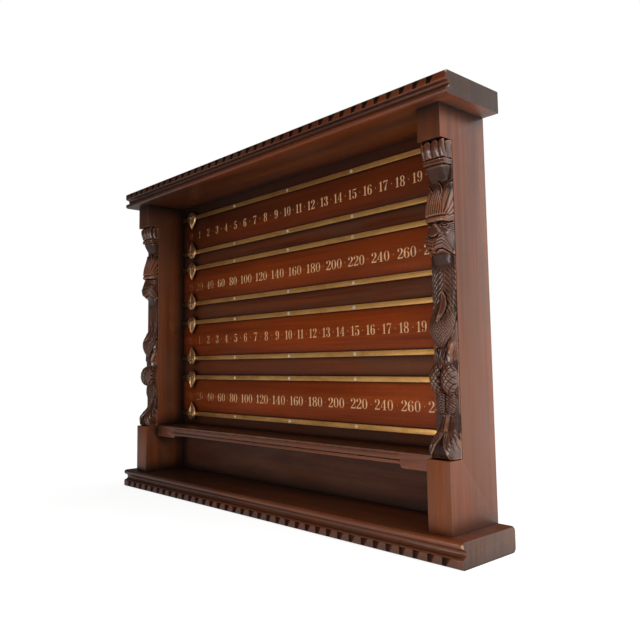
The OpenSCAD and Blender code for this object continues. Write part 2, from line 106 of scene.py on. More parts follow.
def carve(piece, cutter):
    pick(piece)
    modifier = piece.modifiers.new("cut", "BOOLEAN")
    modifier.operation = "DIFFERENCE"
    modifier.solver = "EXACT"
    modifier.object = cutter
    bpy.ops.object.modifier_apply(modifier=modifier.name)
    bpy.data.objects.remove(cutter)


def softenEdges(piece, width, segments, angle):
    modifier = piece.modifiers.new("soften", "BEVEL")
    modifier.width = width
    modifier.segments = segments
    modifier.limit_method = "ANGLE"
    modifier.angle_limit = math.radians(angle)
    modifier.miter_outer = "MITER_ARC"
    applyModifiers(piece)
    faceOutwards(piece)


def smoothByAngle(piece, angle):
    pick(piece)
    bpy.ops.object.shade_smooth_by_angle(angle=math.radians(angle))


def faceOutwards(piece):
    pick(piece)
    editMode("SELECT")
    bpy.ops.mesh.remove_doubles(threshold=0.00001)
    bpy.ops.mesh.normals_make_consistent(inside=False)
    objectMode()


def drawnOut(name, outline, run):  # a closed outline in space, filled and drawn out to a solid
    clearSelection()
    bpy.ops.mesh.primitive_circle_add(vertices=len(outline), radius=1, fill_type="NGON")
    piece = bpy.context.object
    piece.name = name
    for vertex, place in zip(piece.data.vertices, outline):
        vertex.co = place
    editMode("SELECT")
    bpy.ops.mesh.extrude_region_move(TRANSFORM_OT_translate={"value": run})
    objectMode()
    faceOutwards(piece)
    return piece


def profileBar(name, outline, x0, x1):  # an outline in depth and height, drawn out along the board
    return drawnOut(name, [(x0, y, z) for y, z in outline], (x1 - x0, 0, 0))


def closeBack(piece, back, middle=0.0, narrower=1.0):  # its open rim drawn back to a flat and filled
    editMode("DESELECT", "EDGE")
    bpy.ops.mesh.select_non_manifold()
    bpy.ops.mesh.extrude_region_move(TRANSFORM_OT_translate={"value": (0, 0.001, 0)})
    objectMode()
    for vertex in piece.data.vertices:
        if vertex.select:
            vertex.co.y = back
            vertex.co.x = middle + (vertex.co.x - middle) * narrower
    editMode()
    bpy.ops.mesh.edge_face_add()
    objectMode()
    faceOutwards(piece)


def newObject(name, data):
    piece = bpy.data.objects.new(name, data)
    bpy.context.scene.collection.objects.link(piece)
    return piece


def copyTo(piece, name, shift=(0, 0, 0), flip=None):  # each copy has its own mesh
    twin = newObject(name, piece.data.copy())
    change = Matrix.Translation(shift)
    if flip:
        change = change @ Matrix.Diagonal((*flip, 1))
    twin.data.transform(change)
    if flip:
        faceOutwards(twin)
    return twin


def finishPiece(piece, material, body="case", node=None, endMaterial=None):
    settle(piece)
    piece.data.materials.clear()
    piece.data.materials.append(material)
    if endMaterial:
        piece.data.materials.append(endMaterial)
    for polygon in piece.data.polygons:
        atEnd = endMaterial and abs(polygon.normal.x) > 0.9 and polygon.area > 0.001
        polygon.material_index = 1 if atEnd else 0
    if node:
        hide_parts(*([node] if isinstance(node, str) else node))
    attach(piece, body)


# Materials

def fill(tree, node, inputs):  # each input takes a link or a constant, and a colour needs three shares only
    for key, value in inputs.items():
        socket = node.inputs[key]
        if isinstance(value, bpy.types.NodeSocket):
            tree.links.new(value, socket)
        else:
            socket.default_value = (*value, 1) if socket.type == "RGBA" else value


def addNode(tree, kind, inputs=None, **settings):
    node = tree.nodes.new(kind)
    for key, value in settings.items():
        setattr(node, key, value)
    fill(tree, node, inputs or {})
    return node


def mathNode(tree, operation, a, b=0.0, clamp=False):
    return addNode(tree, "ShaderNodeMath", {0: a, 1: b}, operation=operation, use_clamp=clamp).outputs[0]


def times(tree, a, b, clamp=False):
    return mathNode(tree, "MULTIPLY", a, b, clamp)


def plus(tree, a, b, clamp=False):
    return mathNode(tree, "ADD", a, b, clamp)


def minus(tree, a, b):
    return mathNode(tree, "SUBTRACT", a, b)


def mapRange(tree, value, low, high, toLow=0.0, toHigh=1.0, kind="LINEAR"):
    return addNode(tree, "ShaderNodeMapRange", {"Value": value, "From Min": low, "From Max": high,
        "To Min": toLow, "To Max": toHigh}, clamp=True, interpolation_type=kind).outputs[0]


def mixColor(tree, factor, a, b, blend="MIX"):
    settings = {"data_type": "RGBA", "blend_type": blend}
    return addNode(tree, "ShaderNodeMix", {0: factor, 6: a, 7: b}, **settings).outputs[2]


def noise(tree, vector, scale, detail=2.0, roughness=0.5, distortion=0.0):
    return addNode(tree, "ShaderNodeTexNoise", {"Vector": vector, "Scale": scale, "Detail": detail,
        "Roughness": roughness, "Distortion": distortion}).outputs["Fac"]


def stretched(tree, vector, factors):
    return addNode(tree, "ShaderNodeVectorMath", {0: vector, 1: factors}, operation="MULTIPLY").outputs[0]


def vectorValue(tree, operation, a, b):
    return addNode(tree, "ShaderNodeVectorMath", {0: a, 1: b}, operation=operation).outputs["Value"]


def axesOf(tree, vector):
    return addNode(tree, "ShaderNodeSeparateXYZ", {0: vector}).outputs


def ownPlace(tree):
    return addNode(tree, "ShaderNodeTexCoord").outputs["Object"]


def bump(tree, height, strength, distance):
    inputs = {"Height": height, "Strength": strength, "Distance": distance}
    return addNode(tree, "ShaderNodeBump", inputs).outputs[0]


def newGroup(name, inputs, outputs):
    group = bpy.data.node_groups.new(name, "ShaderNodeTree")
    for label, kind, value in inputs:
        socket = group.interface.new_socket(name=label, in_out="INPUT", socket_type="NodeSocket" + kind)
        if value is not None:
            socket.default_value = (*value, 1) if kind == "Color" else value
    for label, kind in outputs:
        group.interface.new_socket(name=label, in_out="OUTPUT", socket_type="NodeSocket" + kind)
    return group, group.nodes.new("NodeGroupInput").outputs, group.nodes.new("NodeGroupOutput")


def makeGrainGroup():  # mahogany with its grain along the vector's X
    group, given, out = newGroup("mahoganyGrain", [("Position", "Vector", None),
        ("Dark", "Color", (0.05, 0.015, 0.01)), ("Light", "Color", (0.2, 0.06, 0.03)),
        ("Faded", "Color", (0.1, 0.05, 0.03)), ("Figure", "Float", 1.0), ("Streaks", "Float", 0.5),
        ("Fading", "Float", 0.4)], [("Color", "Color"), ("Pores", "Float"), ("Height", "Float")])
    position = given["Position"]
    broad = noise(group, stretched(group, position, (1.3, 17, 17)), 1.0, 4.0, 0.6, 0.9)
    bands = noise(group, stretched(group, position, (2.0, 95, 95)), 1.0, 3.0, 0.6, 0.5)
    fibres = noise(group, stretched(group, position, (7, 560, 560)), 1.0, 2.0, 0.6)
    dashes = noise(group, stretched(group, position, (60, 1500, 1500)), 1.0, 1.0, 0.5)
    clouds = noise(group, stretched(group, position, (4.0, 22, 22)), 1.0, 3.0, 0.55)
    pores = mapRange(group, dashes, 0.58, 0.70)
    figure = times(group, minus(group, broad, 0.5), given["Figure"])
    broader = times(group, minus(group, bands, 0.5), 1.5)
    finer = times(group, minus(group, fibres, 0.5), 1.3)
    streak = times(group, plus(group, broader, finer), given["Streaks"])
    tone = plus(group, plus(group, times(group, figure, 2.4), streak), 0.5, True)
    color = mixColor(group, tone, given["Dark"], given["Light"])
    faded = times(group, mapRange(group, clouds, 0.42, 0.66), given["Fading"])
    color = mixColor(group, faded, color, given["Faded"])
    color = mixColor(group, times(group, pores, 0.5), color, given["Dark"])
    height = minus(group, times(group, fibres, 0.35), times(group, pores, 0.65))
    fill(group, out, {"Color": color, "Pores": pores, "Height": height})
    return group


def makeWearGroup():  # 1 along worn arrises, broken up, and 0 elsewhere
    group, given, out = newGroup("edgeWear", [("Position", "Vector", None), ("Radius", "Float", 0.002),
        ("Amount", "Float", 1.0)], [("Mask", "Float")])
    rounded = addNode(group, "ShaderNodeBevel", {"Radius": given["Radius"]}, samples=4).outputs[0]
    flat = addNode(group, "ShaderNodeNewGeometry").outputs["True Normal"]
    edge = mapRange(group, vectorValue(group, "DOT_PRODUCT", rounded, flat), 0.995, 0.82)
    broken = mapRange(group, noise(group, given["Position"], 60.0, 4.0, 0.65), 0.38, 0.62)
    fill(group, out, {"Mask": times(group, times(group, edge, broken), given["Amount"], True)})
    return group


def makeHollowGroup():  # 1 down in hollows, where shade falls and polish and dust gather, and 0 on open faces; it paints shade and dust
    group, given, out = newGroup("hollowShade", [("Reach", "Float", 0.006), ("Open", "Float", 0.85),
        ("Shut", "Float", 0.25)], [("Mask", "Float")])
    shade = addNode(group, "ShaderNodeAmbientOcclusion", {"Distance": given["Reach"]}, samples=8)
    fill(group, out, {"Mask": mapRange(group, shade.outputs["AO"], given["Open"], given["Shut"])})
    return group


def makePatinaGroup():  # brass, bright where it is rubbed and tarnished in clouds
    group, given, out = newGroup("brassPatina", [("Position", "Vector", None),
        ("Bright", "Color", (0.7, 0.5, 0.25)), ("Tarnished", "Color", (0.3, 0.18, 0.07)),
        ("Amount", "Float", 0.5)], [("Color", "Color"), ("Roughness", "Float"), ("Height", "Float")])
    position = given["Position"]
    cloud = noise(group, stretched(group, position, (14, 60, 60)), 1.0, 5.0, 0.6, 0.5)
    specks = noise(group, position, 700.0, 2.0, 0.6)
    scratch = noise(group, stretched(group, position, (30, 1800, 1800)), 1.0, 2.0, 0.5)
    tarnish = plus(group, times(group, cloud, 0.75), times(group, specks, 0.35))
    tarnish = mapRange(group, plus(group, tarnish, minus(group, given["Amount"], 0.5)), 0.35, 0.75)
    color = mixColor(group, tarnish, given["Bright"], given["Tarnished"])
    rough = plus(group, times(group, tarnish, 0.7), times(group, scratch, 0.3))
    fill(group, out, {"Color": color, "Roughness": mapRange(group, rough, 0.0, 1.0, 0.26, 0.55),
        "Height": plus(group, scratch, specks)})
    return group


grainGroup = makeGrainGroup()
wearGroup = makeWearGroup()
hollowGroup = makeHollowGroup()
patinaGroup = makePatinaGroup()


def placeGroup(tree, group, inputs):
    return addNode(tree, "ShaderNodeGroup", inputs, node_tree=group).outputs


def newMaterial(name):
    material = bpy.data.materials.new(name)
    material.use_nodes = True
    tree = material.node_tree
    return material, tree, tree.nodes["Principled BSDF"]


def grainVector(tree, along):  # object coordinates with the grain's direction turned to X
    turn = {"x": (0, 0, 0), "z": (0, math.pi / 2, 0)}[along]
    return addNode(tree, "ShaderNodeMapping", {"Vector": ownPlace(tree), "Rotation": turn}).outputs[0]


def mahogany(name, look, along="x", toned=False):
    material, tree, shader = newMaterial(name)
    position = grainVector(tree, along)
    grain = placeGroup(tree, grainGroup, {"Position": position, **{label: look[label.lower()]
        for label in ("Dark", "Light", "Faded", "Figure", "Streaks", "Fading")}})
    wear = placeGroup(tree, wearGroup, {"Position": position, "Radius": look["wearRadius"],
        "Amount": look["wear"]})["Mask"]
    # painted shade and dust down in the hollows
    hollow = placeGroup(tree, hollowGroup, {"Reach": look["hollowReach"]})["Mask"]
    # painted shade in inner corners and under overhangs, such as under the cornice and at the foot of the
    # uprights
    corner = placeGroup(tree, hollowGroup, {"Reach": look["cornerReach"], "Open": 0.97, "Shut": 0.5})["Mask"]
    color = mixColor(tree, times(tree, hollow, look["hollow"]), grain["Color"], look["shadeAndGrime"])
    color = mixColor(tree, times(tree, corner, look["corner"]), color, look["shadeAndGrime"])
    color = mixColor(tree, wear, color, look["bare"])
    coat, shine = look["coat"], look["shine"]
    place = ownPlace(tree)
    axes = axesOf(tree, place)
    if "paintedShade" in look or "paintedShadeLeft" in look:  # painted shade, darker by its height and towards the left
        within = look["paintedShadeWithin"]
        inside = mapRange(tree, mathNode(tree, "ABSOLUTE", axes["X"]), within, within - 0.0012)
        up = mapRange(tree, axes["Z"], *look["paintedShade"]) if "paintedShade" in look else 0.0
        left = mapRange(tree, axes["X"], *look["paintedShadeLeft"]) if "paintedShadeLeft" in look else 0.0
        color = mixColor(tree, plus(tree, times(tree, up, inside), left, True), color, look["shadeAndGrime"])
    if "dryShine" in look:  # painted light: the right upright is lighter and redder low down, and its inner faces less polished there
        onRight = mapRange(tree, axes["X"], *look["litLowAcross"])
        litLow = times(tree, onRight, mapRange(tree, axes["Z"], *look["litLowUp"]))
        color = mixColor(tree, times(tree, litLow, look["litLowShare"]), color, look["litLow"], "SCREEN")
        shine = mapRange(tree, times(tree, litLow, inside), 0, 1, look["shine"], look["dryShine"])
    for x, y, z, size in look.get("spots", ()):  # places knocked through to the bare wood
        away = vectorValue(tree, "DISTANCE", place, (x, y, z))
        ragged = mapRange(tree, noise(tree, place, 260.0, 3.0, 0.6), 0.3, 0.7, -size / 2, size / 2)
        knock = mapRange(tree, plus(tree, away, ragged), size, size * 0.7)
        color = mixColor(tree, knock, color, look["chipped"])
    if toned:  # the carver's hollows are painted dark, as dust and painted shade, and the proud forms lighter, as rubbed wear and painted highlight
        painted = addNode(tree, "ShaderNodeAttribute", attribute_name="tone").outputs["Color"]
        tone = addNode(tree, "ShaderNodeSeparateColor", {"Color": painted}).outputs
        color = mixColor(tree, times(tree, tone["Green"], look["rub"]), color, look["rubbedAndLit"])
        color = mixColor(tree, times(tree, tone["Red"], look["dustAndShade"]), color, look["shadeAndGrime"])
        coat = mapRange(tree, tone["Red"], 0, 0.7, look["coat"], 0.0)
        shine = mapRange(tree, tone["Red"], 0, 0.8, look["shine"], 0.1)
    smudge = noise(tree, position, 9.0, 4.0, 0.6)
    rough = mapRange(tree, smudge, 0.3, 0.7, look["rough"] - 0.06, look["rough"] + 0.08)
    rough = plus(tree, rough, times(tree, grain["Pores"], 0.12))
    normal = bump(tree, grain["Height"], look["bump"], 0.0004)
    fill(tree, shader, {"Base Color": color, "Roughness": rough, "Normal": normal, "Coat Weight": coat,
        "Specular IOR Level": shine, "Coat Roughness": look["coatRough"]})
    return material


# the dark colour paints shade and grime; painted shade also darkens from one height to another, with its
# share at each, and likewise across the case towards the left
woodLook = {"dark": (0.055, 0.011, 0.003), "light": (0.235, 0.052, 0.011), "faded": (0.115, 0.050, 0.026),
    "figure": 0.9, "streaks": 0.55, "fading": 0.55, "wearRadius": 0.0016, "wear": 0.45,
    "bare": (0.36, 0.17, 0.085), "hollowReach": 0.006, "hollow": 0.85, "cornerReach": 0.035, "corner": 0.45,
    "shadeAndGrime": (0.008, 0.004, 0.003), "paintedShadeWithin": 0.5276, "chipped": (0.42, 0.27, 0.17), "rough": 0.33,
    "bump": 0.3, "shine": 0.5, "coat": 0.12, "coatRough": 0.18}
knocked = ((0.561, -0.077, 0.8065, 0.0045), (0.5605, -0.070, 0.7815, 0.0035),
    (0.561, -0.074, 0.036, 0.0045), (0.561, -0.077, 0.0175, 0.0030), (-0.560, -0.077, 0.7900, 0.0030))
caseWood = mahogany("mahogany case", dict(woodLook, spots=knocked, shine=0.42,
    paintedShadeLeft=(0.45, -0.50, 0.0, 0.42)))
corniceWood = mahogany("mahogany cornice", dict(woodLook, spots=knocked, light=(0.225, 0.047, 0.009),
    corner=0.6, shine=0.35, paintedShadeLeft=(0.45, -0.50, 0.0, 0.5)))
# darker in the chips: painted shade and dust
chipShadeWood = mahogany("mahogany shaded in the chips", dict(woodLook, dark=(0.020, 0.006, 0.003),
    light=(0.075, 0.020, 0.006), rough=0.6, wear=0.1, coat=0.0, shine=0.25, hollow=0.95))
endWood = mahogany("mahogany end grain", dict(woodLook, dark=(0.080, 0.040, 0.026),
    light=(0.200, 0.088, 0.056), faded=(0.170, 0.105, 0.080), streaks=0.8, rough=0.52, wear=0.3, coat=0.0,
    shine=0.36, spots=knocked, corner=0.3, paintedShade=(0.1, 0.75, 0.0, 0.66), paintedShadeWithin=1.0), along="z")
uprightWood = mahogany("mahogany uprights", dict(woodLook, dark=(0.080, 0.018, 0.004),
    light=(0.255, 0.060, 0.013), streaks=0.7, fading=0.75, corner=0.95, coat=0.0,
    paintedShade=(0.55, 0.76, 0.05, 0.62), dryShine=0.2, litLow=(0.075, 0.016, 0.003), litLowShare=0.8,
    litLowAcross=(0.0, 0.3), litLowUp=(0.50, 0.30)), along="z")
# a darker copy for the board under the shelf: painted shade
compartmentShadeWood = mahogany("mahogany compartment, shaded", dict(woodLook, dark=(0.035, 0.009, 0.004),
    light=(0.090, 0.024, 0.008), rough=0.45, shine=0.3, wear=0.2, coat=0.0, corner=0.9))
shelfWood = mahogany("mahogany shelf", woodLook)
carvedWood = mahogany("mahogany carving", dict(woodLook, dark=(0.030, 0.008, 0.003),
    light=(0.120, 0.030, 0.009), faded=(0.06, 0.026, 0.015), wearRadius=0.0012, wear=0.35,
    hollowReach=0.005, hollow=0.8, rough=0.30, bump=0.25, coat=0.55, coatRough=0.16, corner=0.5, rub=0.7,
    rubbedAndLit=(0.33, 0.115, 0.048), dustAndShade=0.95), along="z", toned=True)
panelWood = mahogany("mahogany back boards", dict(woodLook, dark=(0.072, 0.014, 0.003),
    light=(0.235, 0.050, 0.010), rough=0.38, shine=0.2, wear=0.2, coat=0.0, corner=0.8,
    paintedShade=(0.62, 0.72, 0.0, 0.5), paintedShadeLeft=(0.1, -0.45, 0.0, 0.35)))
stripWood = mahogany("mahogany strips", dict(woodLook, dark=(0.12, 0.015, 0.001),
    light=(0.34, 0.053, 0.004), faded=(0.16, 0.040, 0.010), streaks=0.5, fading=0.3, wear=0.2, rough=0.42,
    shine=0.14, coat=0.0, cornerReach=0.02, corner=0.8, paintedShade=(0.43, 0.69, 0.0, 0.58),
    paintedShadeLeft=(-0.1, -0.46, 0.0, 0.25)))


def brass(name, look):
    material, tree, shader = newMaterial(name)
    position = grainVector(tree, "x")
    patina = placeGroup(tree, patinaGroup, {"Position": position, "Bright": look["bright"],
        "Tarnished": look["tarnished"], "Amount": look["amount"]})
    hollow = placeGroup(tree, hollowGroup, {"Reach": look["hollowReach"]})["Mask"]
    wear = placeGroup(tree, wearGroup, {"Position": position, "Radius": look["wearRadius"],
        "Amount": look["wear"]})["Mask"]
    # painted shade and grime down in the hollows of the brass
    color = mixColor(tree, times(tree, hollow, look["hollow"]), patina["Color"], look["shadeAndGrime"])
    color = mixColor(tree, wear, color, look["bright"])
    along = axesOf(tree, position)["X"]
    for key in ("shadedLeft", "shadedEnd"):  # painted shade, darker towards the left end
        color = mixColor(tree, mapRange(tree, along, *look[key]), color, look["shadeAndGrime"])
    if "shadedStain" in look:  # the top rail is browned and painted with the cornice's shade, least at its right end
        height = axesOf(tree, ownPlace(tree))["Z"]
        top = mathNode(tree, "GREATER_THAN", height, look["shadedStainedFrom"])
        shadedStain = times(tree, mapRange(tree, along, *look["shadedStain"]), top)
        color = mixColor(tree, shadedStain, color, look["shadedStained"])
    fill(tree, shader, {"Base Color": color, "Roughness": patina["Roughness"],
        "Normal": bump(tree, patina["Height"], 0.25, 0.0002), "Metallic": look["metallic"]})
    return material


brassLook = {"bright": (0.80, 0.58, 0.30), "tarnished": (0.36, 0.21, 0.08), "amount": 0.5,
    "wearRadius": 0.0008, "wear": 0.5, "hollowReach": 0.003, "hollow": 0.8, "shadeAndGrime": (0.05, 0.03, 0.015),
    "metallic": 0.75, "shadedLeft": (-0.30, -0.43, 0.0, 0.0), "shadedEnd": (-0.448, -0.458, 0.0, 0.0)}
railBrass = brass("brass of the rails", dict(brassLook, bright=(0.86, 0.47, 0.15),
    tarnished=(0.40, 0.17, 0.04), shadedLeft=(-0.30, -0.43, 0.0, 0.55), shadedEnd=(-0.448, -0.458, 0.0, 0.85),
    shadedStain=(0.44, 0.12, 0.0, 0.5), shadedStained=(0.13, 0.035, 0.010),
    shadedStainedFrom=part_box("upper_rail_1")[0].z - 0.002))
pointerBrass = brass("brass of the pointers", dict(brassLook, hollow=1.0, metallic=1.0,
    bright=(0.84, 0.50, 0.25), tarnished=(0.17, 0.065, 0.028)))
screwBrass = brass("brass of the screws", dict(brassLook, amount=0.15, bright=(1.0, 0.88, 0.66)))
plateBrass = brass("brass of the hangers", dict(brassLook, amount=0.6))
browned = brass("browned steel", dict(brassLook, bright=(0.25, 0.22, 0.19), tarnished=(0.10, 0.07, 0.05),
    amount=0.6))
beech = mahogany("bare beech", dict(woodLook, dark=(0.38, 0.24, 0.13), light=(0.62, 0.45, 0.28), rough=0.7,
    coat=0.0, wear=0.0, figure=0.5), along="z")


giltLook = {"gold": (0.92, 0.56, 0.29), "dull": (0.42, 0.20, 0.07), "gone": (0.165, 0.034, 0.006),
    "from": -0.445, "to": -0.215, "metallic": 0.3}


def makeGilt():
    look = giltLook
    material, tree, shader = newMaterial("gold leaf")
    position = grainVector(tree, "x")
    rub = noise(tree, position, 140.0, 4.0, 0.7)
    fade = noise(tree, position, 6.0, 2.0, 0.5)
    worn = mapRange(tree, plus(tree, times(tree, rub, 0.7), times(tree, fade, 0.3)), 0.45, 0.72)
    color = mixColor(tree, times(tree, worn, 0.8), look["gold"], look["dull"])
    along = axesOf(tree, position)["X"]
    left = mapRange(tree, along, look["to"], look["from"])  # most worn by the pointers' end
    gone = plus(tree, left, mapRange(tree, rub, 0.35, 0.65, -0.35, 0.25))
    gone = mapRange(tree, times(tree, gone, mapRange(tree, left, 0.0, 0.3)), 0.1, 0.9)
    fill(tree, shader, {"Base Color": mixColor(tree, gone, color, look["gone"]),
        "Metallic": mapRange(tree, gone, 0, 1, look["metallic"], 0.0),
        "Roughness": mapRange(tree, rub, 0.3, 0.7, 0.34, 0.6), "Normal": bump(tree, rub, 0.2, 0.0001)})
    return material


gilt = makeGilt()
print("stage: materials made")


# Looks of the frame's own nodes, by a part of their names

nodeLooks = (("_rail_", railBrass), ("_pointer_", pointerBrass), ("number_strip", stripWood),
    ("lower_back_board", compartmentShadeWood), ("scoring_panel", panelWood), ("carving", carvedWood),
    ("upright", uprightWood), ("rail_screws", screwBrass), ("hanger_screws", screwBrass),
    ("panel_screws", browned), ("joint_dowels", beech), ("hanger", plateBrass))
for name, node in nodes.items():
    node.data.materials.clear()
    node.data.materials.append(next((look for part, look in nodeLooks if part in name), caseWood))
    for polygon in node.data.polygons:
        polygon.material_index = 0


# Numerals: outlines given in shares of their height. A point with a
# third value of 1 is a corner, the others are smooth.

numeralLook = {"height": 0.0213, "onesWide": 1.17, "onesDrop": 0.0, "twentiesWide": 1.40,
    "twentiesDrop": 0.0025, "gap": 0.0018, "proud": 0.00025, "dot": 0.0013, "thin": -0.00036}
strokes = {
    "0": (0.52, [[(0.26, -0.015), (0.0, 0.5), (0.26, 1.015), (0.52, 0.5)],
                 [(0.26, 0.06), (0.36, 0.5), (0.26, 0.94), (0.16, 0.5)]]),
    "1": (0.40, [[(0.0, 0.0, 1), (0.0, 0.06, 1), (0.10, 0.09, 1), (0.115, 0.14, 1), (0.115, 0.80, 1),
                  (0.0, 0.78, 1), (0.0, 0.85, 1), (0.10, 0.89), (0.17, 1.0, 1), (0.275, 1.0, 1),
                  (0.275, 0.14, 1), (0.29, 0.09, 1), (0.39, 0.06, 1), (0.39, 0.0, 1)]]),
    "2": (0.50, [[(0.0, 0.0, 1), (0.01, 0.09), (0.12, 0.28), (0.27, 0.50), (0.34, 0.75), (0.25, 0.955),
                  (0.15, 0.90), (0.19, 0.78), (0.105, 0.66), (0.015, 0.76), (0.07, 0.945), (0.26, 1.015),
                  (0.44, 0.945), (0.51, 0.75), (0.42, 0.52), (0.26, 0.32), (0.15, 0.17, 1), (0.36, 0.155),
                  (0.425, 0.20), (0.45, 0.30, 1), (0.50, 0.30, 1), (0.47, 0.0, 1)]]),
    "3": (0.50, [[(0.0, 0.21), (0.08, 0.33), (0.175, 0.23), (0.13, 0.10), (0.23, 0.045), (0.32, 0.11),
                  (0.34, 0.27), (0.30, 0.44), (0.17, 0.50, 1), (0.17, 0.55, 1), (0.28, 0.60), (0.31, 0.77),
                  (0.25, 0.955), (0.16, 0.91), (0.19, 0.80), (0.11, 0.69), (0.02, 0.78), (0.08, 0.95),
                  (0.25, 1.015), (0.42, 0.95), (0.475, 0.77), (0.44, 0.60), (0.35, 0.525, 1), (0.46, 0.44),
                  (0.51, 0.27), (0.44, 0.06), (0.24, -0.015), (0.06, 0.06)]]),
    "4": (0.55, [[(0.17, 0.0, 1), (0.17, 0.06, 1), (0.265, 0.09, 1), (0.28, 0.13, 1), (0.28, 0.235, 1),
                  (0.0, 0.235, 1), (0.0, 0.31, 1), (0.33, 1.0, 1), (0.43, 1.0, 1), (0.43, 0.31, 1),
                  (0.54, 0.31, 1), (0.54, 0.235, 1), (0.43, 0.235, 1), (0.43, 0.13, 1), (0.445, 0.09, 1),
                  (0.53, 0.06, 1), (0.53, 0.0, 1)],
                 [(0.28, 0.31, 1), (0.28, 0.74, 1), (0.08, 0.31, 1)]]),
    "5": (0.50, [[(0.0, 0.20), (0.085, 0.31), (0.175, 0.21), (0.13, 0.09), (0.22, 0.045), (0.31, 0.12),
                  (0.335, 0.32), (0.30, 0.52), (0.21, 0.59), (0.12, 0.56), (0.085, 0.49, 1),
                  (0.045, 0.49, 1), (0.06, 1.0, 1), (0.10, 0.975), (0.42, 0.985, 1), (0.46, 1.03, 1),
                  (0.46, 0.90, 1), (0.40, 0.84), (0.105, 0.85, 1), (0.10, 0.60, 1), (0.24, 0.655),
                  (0.44, 0.56), (0.505, 0.32), (0.44, 0.07), (0.23, -0.015), (0.06, 0.05)]]),
    "6": (0.51, [[(0.26, -0.015), (0.06, 0.10), (0.0, 0.47), (0.07, 0.85), (0.29, 1.015), (0.43, 0.96),
                  (0.485, 0.83), (0.41, 0.73), (0.33, 0.82), (0.37, 0.92), (0.29, 0.955), (0.19, 0.85),
                  (0.165, 0.57, 1), (0.28, 0.63), (0.45, 0.54), (0.515, 0.30), (0.44, 0.06)],
                 [(0.26, 0.05), (0.35, 0.30), (0.26, 0.56), (0.165, 0.30)]]),
    "7": (0.50, [[(0.12, 0.0, 1), (0.16, 0.28), (0.29, 0.58), (0.415, 0.85, 1), (0.14, 0.85), (0.065, 0.81),
                  (0.045, 0.70, 1), (0.0, 0.70, 1), (0.02, 1.03, 1), (0.07, 1.0, 1), (0.50, 1.0, 1),
                  (0.50, 0.90, 1), (0.37, 0.56), (0.32, 0.28), (0.315, 0.0, 1)]]),
    "8": (0.52, [[(0.26, -0.015), (0.06, 0.06), (0.0, 0.24), (0.04, 0.42), (0.13, 0.53, 1), (0.055, 0.62),
                  (0.02, 0.77), (0.08, 0.95), (0.26, 1.015), (0.44, 0.95), (0.495, 0.77), (0.46, 0.62),
                  (0.38, 0.53, 1), (0.48, 0.42), (0.52, 0.24), (0.46, 0.06)],
                 [(0.26, 0.045), (0.37, 0.22), (0.24, 0.47), (0.145, 0.22)],
                 [(0.26, 0.955), (0.16, 0.79), (0.27, 0.59), (0.36, 0.79)]])}
width9, contours6 = strokes["6"]
strokes["9"] = (width9, [[(width9 - p[0], 1.0 - p[1], *p[2:]) for p in contour] for contour in contours6])


def drawNumeral(curve, sign, left, middleZ, size, wide):
    width, contours = strokes[sign]
    for order, contour in enumerate(contours):  # outlines one way round, counters the other, for the offset
        area = sum(a[0] * b[1] - b[0] * a[1] for a, b in zip(contour, contour[1:] + contour[:1]))
        if (area > 0) == (order > 0):
            contour = contour[::-1]
        spline = curve.splines.new("BEZIER")
        spline.bezier_points.add(len(contour) - 1)
        spline.use_cyclic_u = True
        for point, place in zip(spline.bezier_points, contour):
            point.co = (left + place[0] * size * wide, middleZ + (place[1] - 0.5) * size, 0)
            kind = "VECTOR" if len(place) > 2 else "AUTO"
            point.handle_left_type = point.handle_right_type = kind


def drawDot(curve, x, z, radius):
    spline = curve.splines.new("BEZIER")
    spline.bezier_points.add(3)
    spline.use_cyclic_u = True
    for point, (a, b) in zip(spline.bezier_points, ((-1, 0), (0, 1), (1, 0), (0, -1))):
        point.co = (x + a * radius, z + b * radius, 0)
        point.handle_left_type = point.handle_right_type = "AUTO"


# Middles of the numerals along the case, in millimetres
onesAt = [-437.7, -394.7, -352.4, -309.6, -267.2, -225.4, -183.7, -141.8, -99.0, -56.6, -14.6, 28.0, 71.0,
    115.0, 160.0, 204.4, 249.2, 294.3, 339.6, 384.2, 428.6]
twentiesAt = [-437.0, -394.3, -342.8, -290.5, -236.5, -180.0, -117.4, -53.6, 10.6, 75.5, 142.8, 211.3,
    281.0, 351.6, 419.6]


def numeralRow(name, node, labels, places, wide, drop):
    look = numeralLook
    low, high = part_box(node)
    middle = (low.z + high.z) / 2 - drop
    curve = bpy.data.curves.new(name, "CURVE")
    curve.dimensions = "2D"
    curve.fill_mode = "BOTH"
    curve.resolution_u = 6
    edges = []
    for label, place in zip(labels, places):
        text = str(label)
        widths = [strokes[sign][0] * look["height"] * wide for sign in text]
        total = sum(widths) + look["gap"] * (len(text) - 1)
        left = place / 1000 - total / 2
        edges.append((left, left + total))
        for sign, width in zip(text, widths):
            drawNumeral(curve, sign, left, middle, look["height"], wide)
            left += width + look["gap"]
    for (a, b), (c, d) in zip(edges, edges[1:]):
        drawDot(curve, (b + c) / 2, middle, look["dot"])
    curve.extrude = look["proud"]
    curve.offset = look["thin"] * wide
    pick(newObject(name, curve))
    bpy.ops.object.convert(target="MESH")
    row = bpy.context.object
    row.rotation_euler = (math.pi / 2, 0, 0)
    row.location = (0, low.y - 0.00002, 0)
    settle(row)
    faceOutwards(row)
    finishPiece(row, gilt)


rowKinds = (("twenties", range(0, 300, 20), twentiesAt), ("ones", range(21), onesAt))
for index in range(1, 5):
    kind, labels, places = rowKinds[index % 2]
    numeralRow(f"gilt_numerals_{index}", f"number_strip_{index}", labels, places, numeralLook[kind + "Wide"],
        numeralLook[kind + "Drop"])
print("stage: numerals drawn")


# Cornice and base: a moulded edge drawn once and cut with chips, sizes in metres

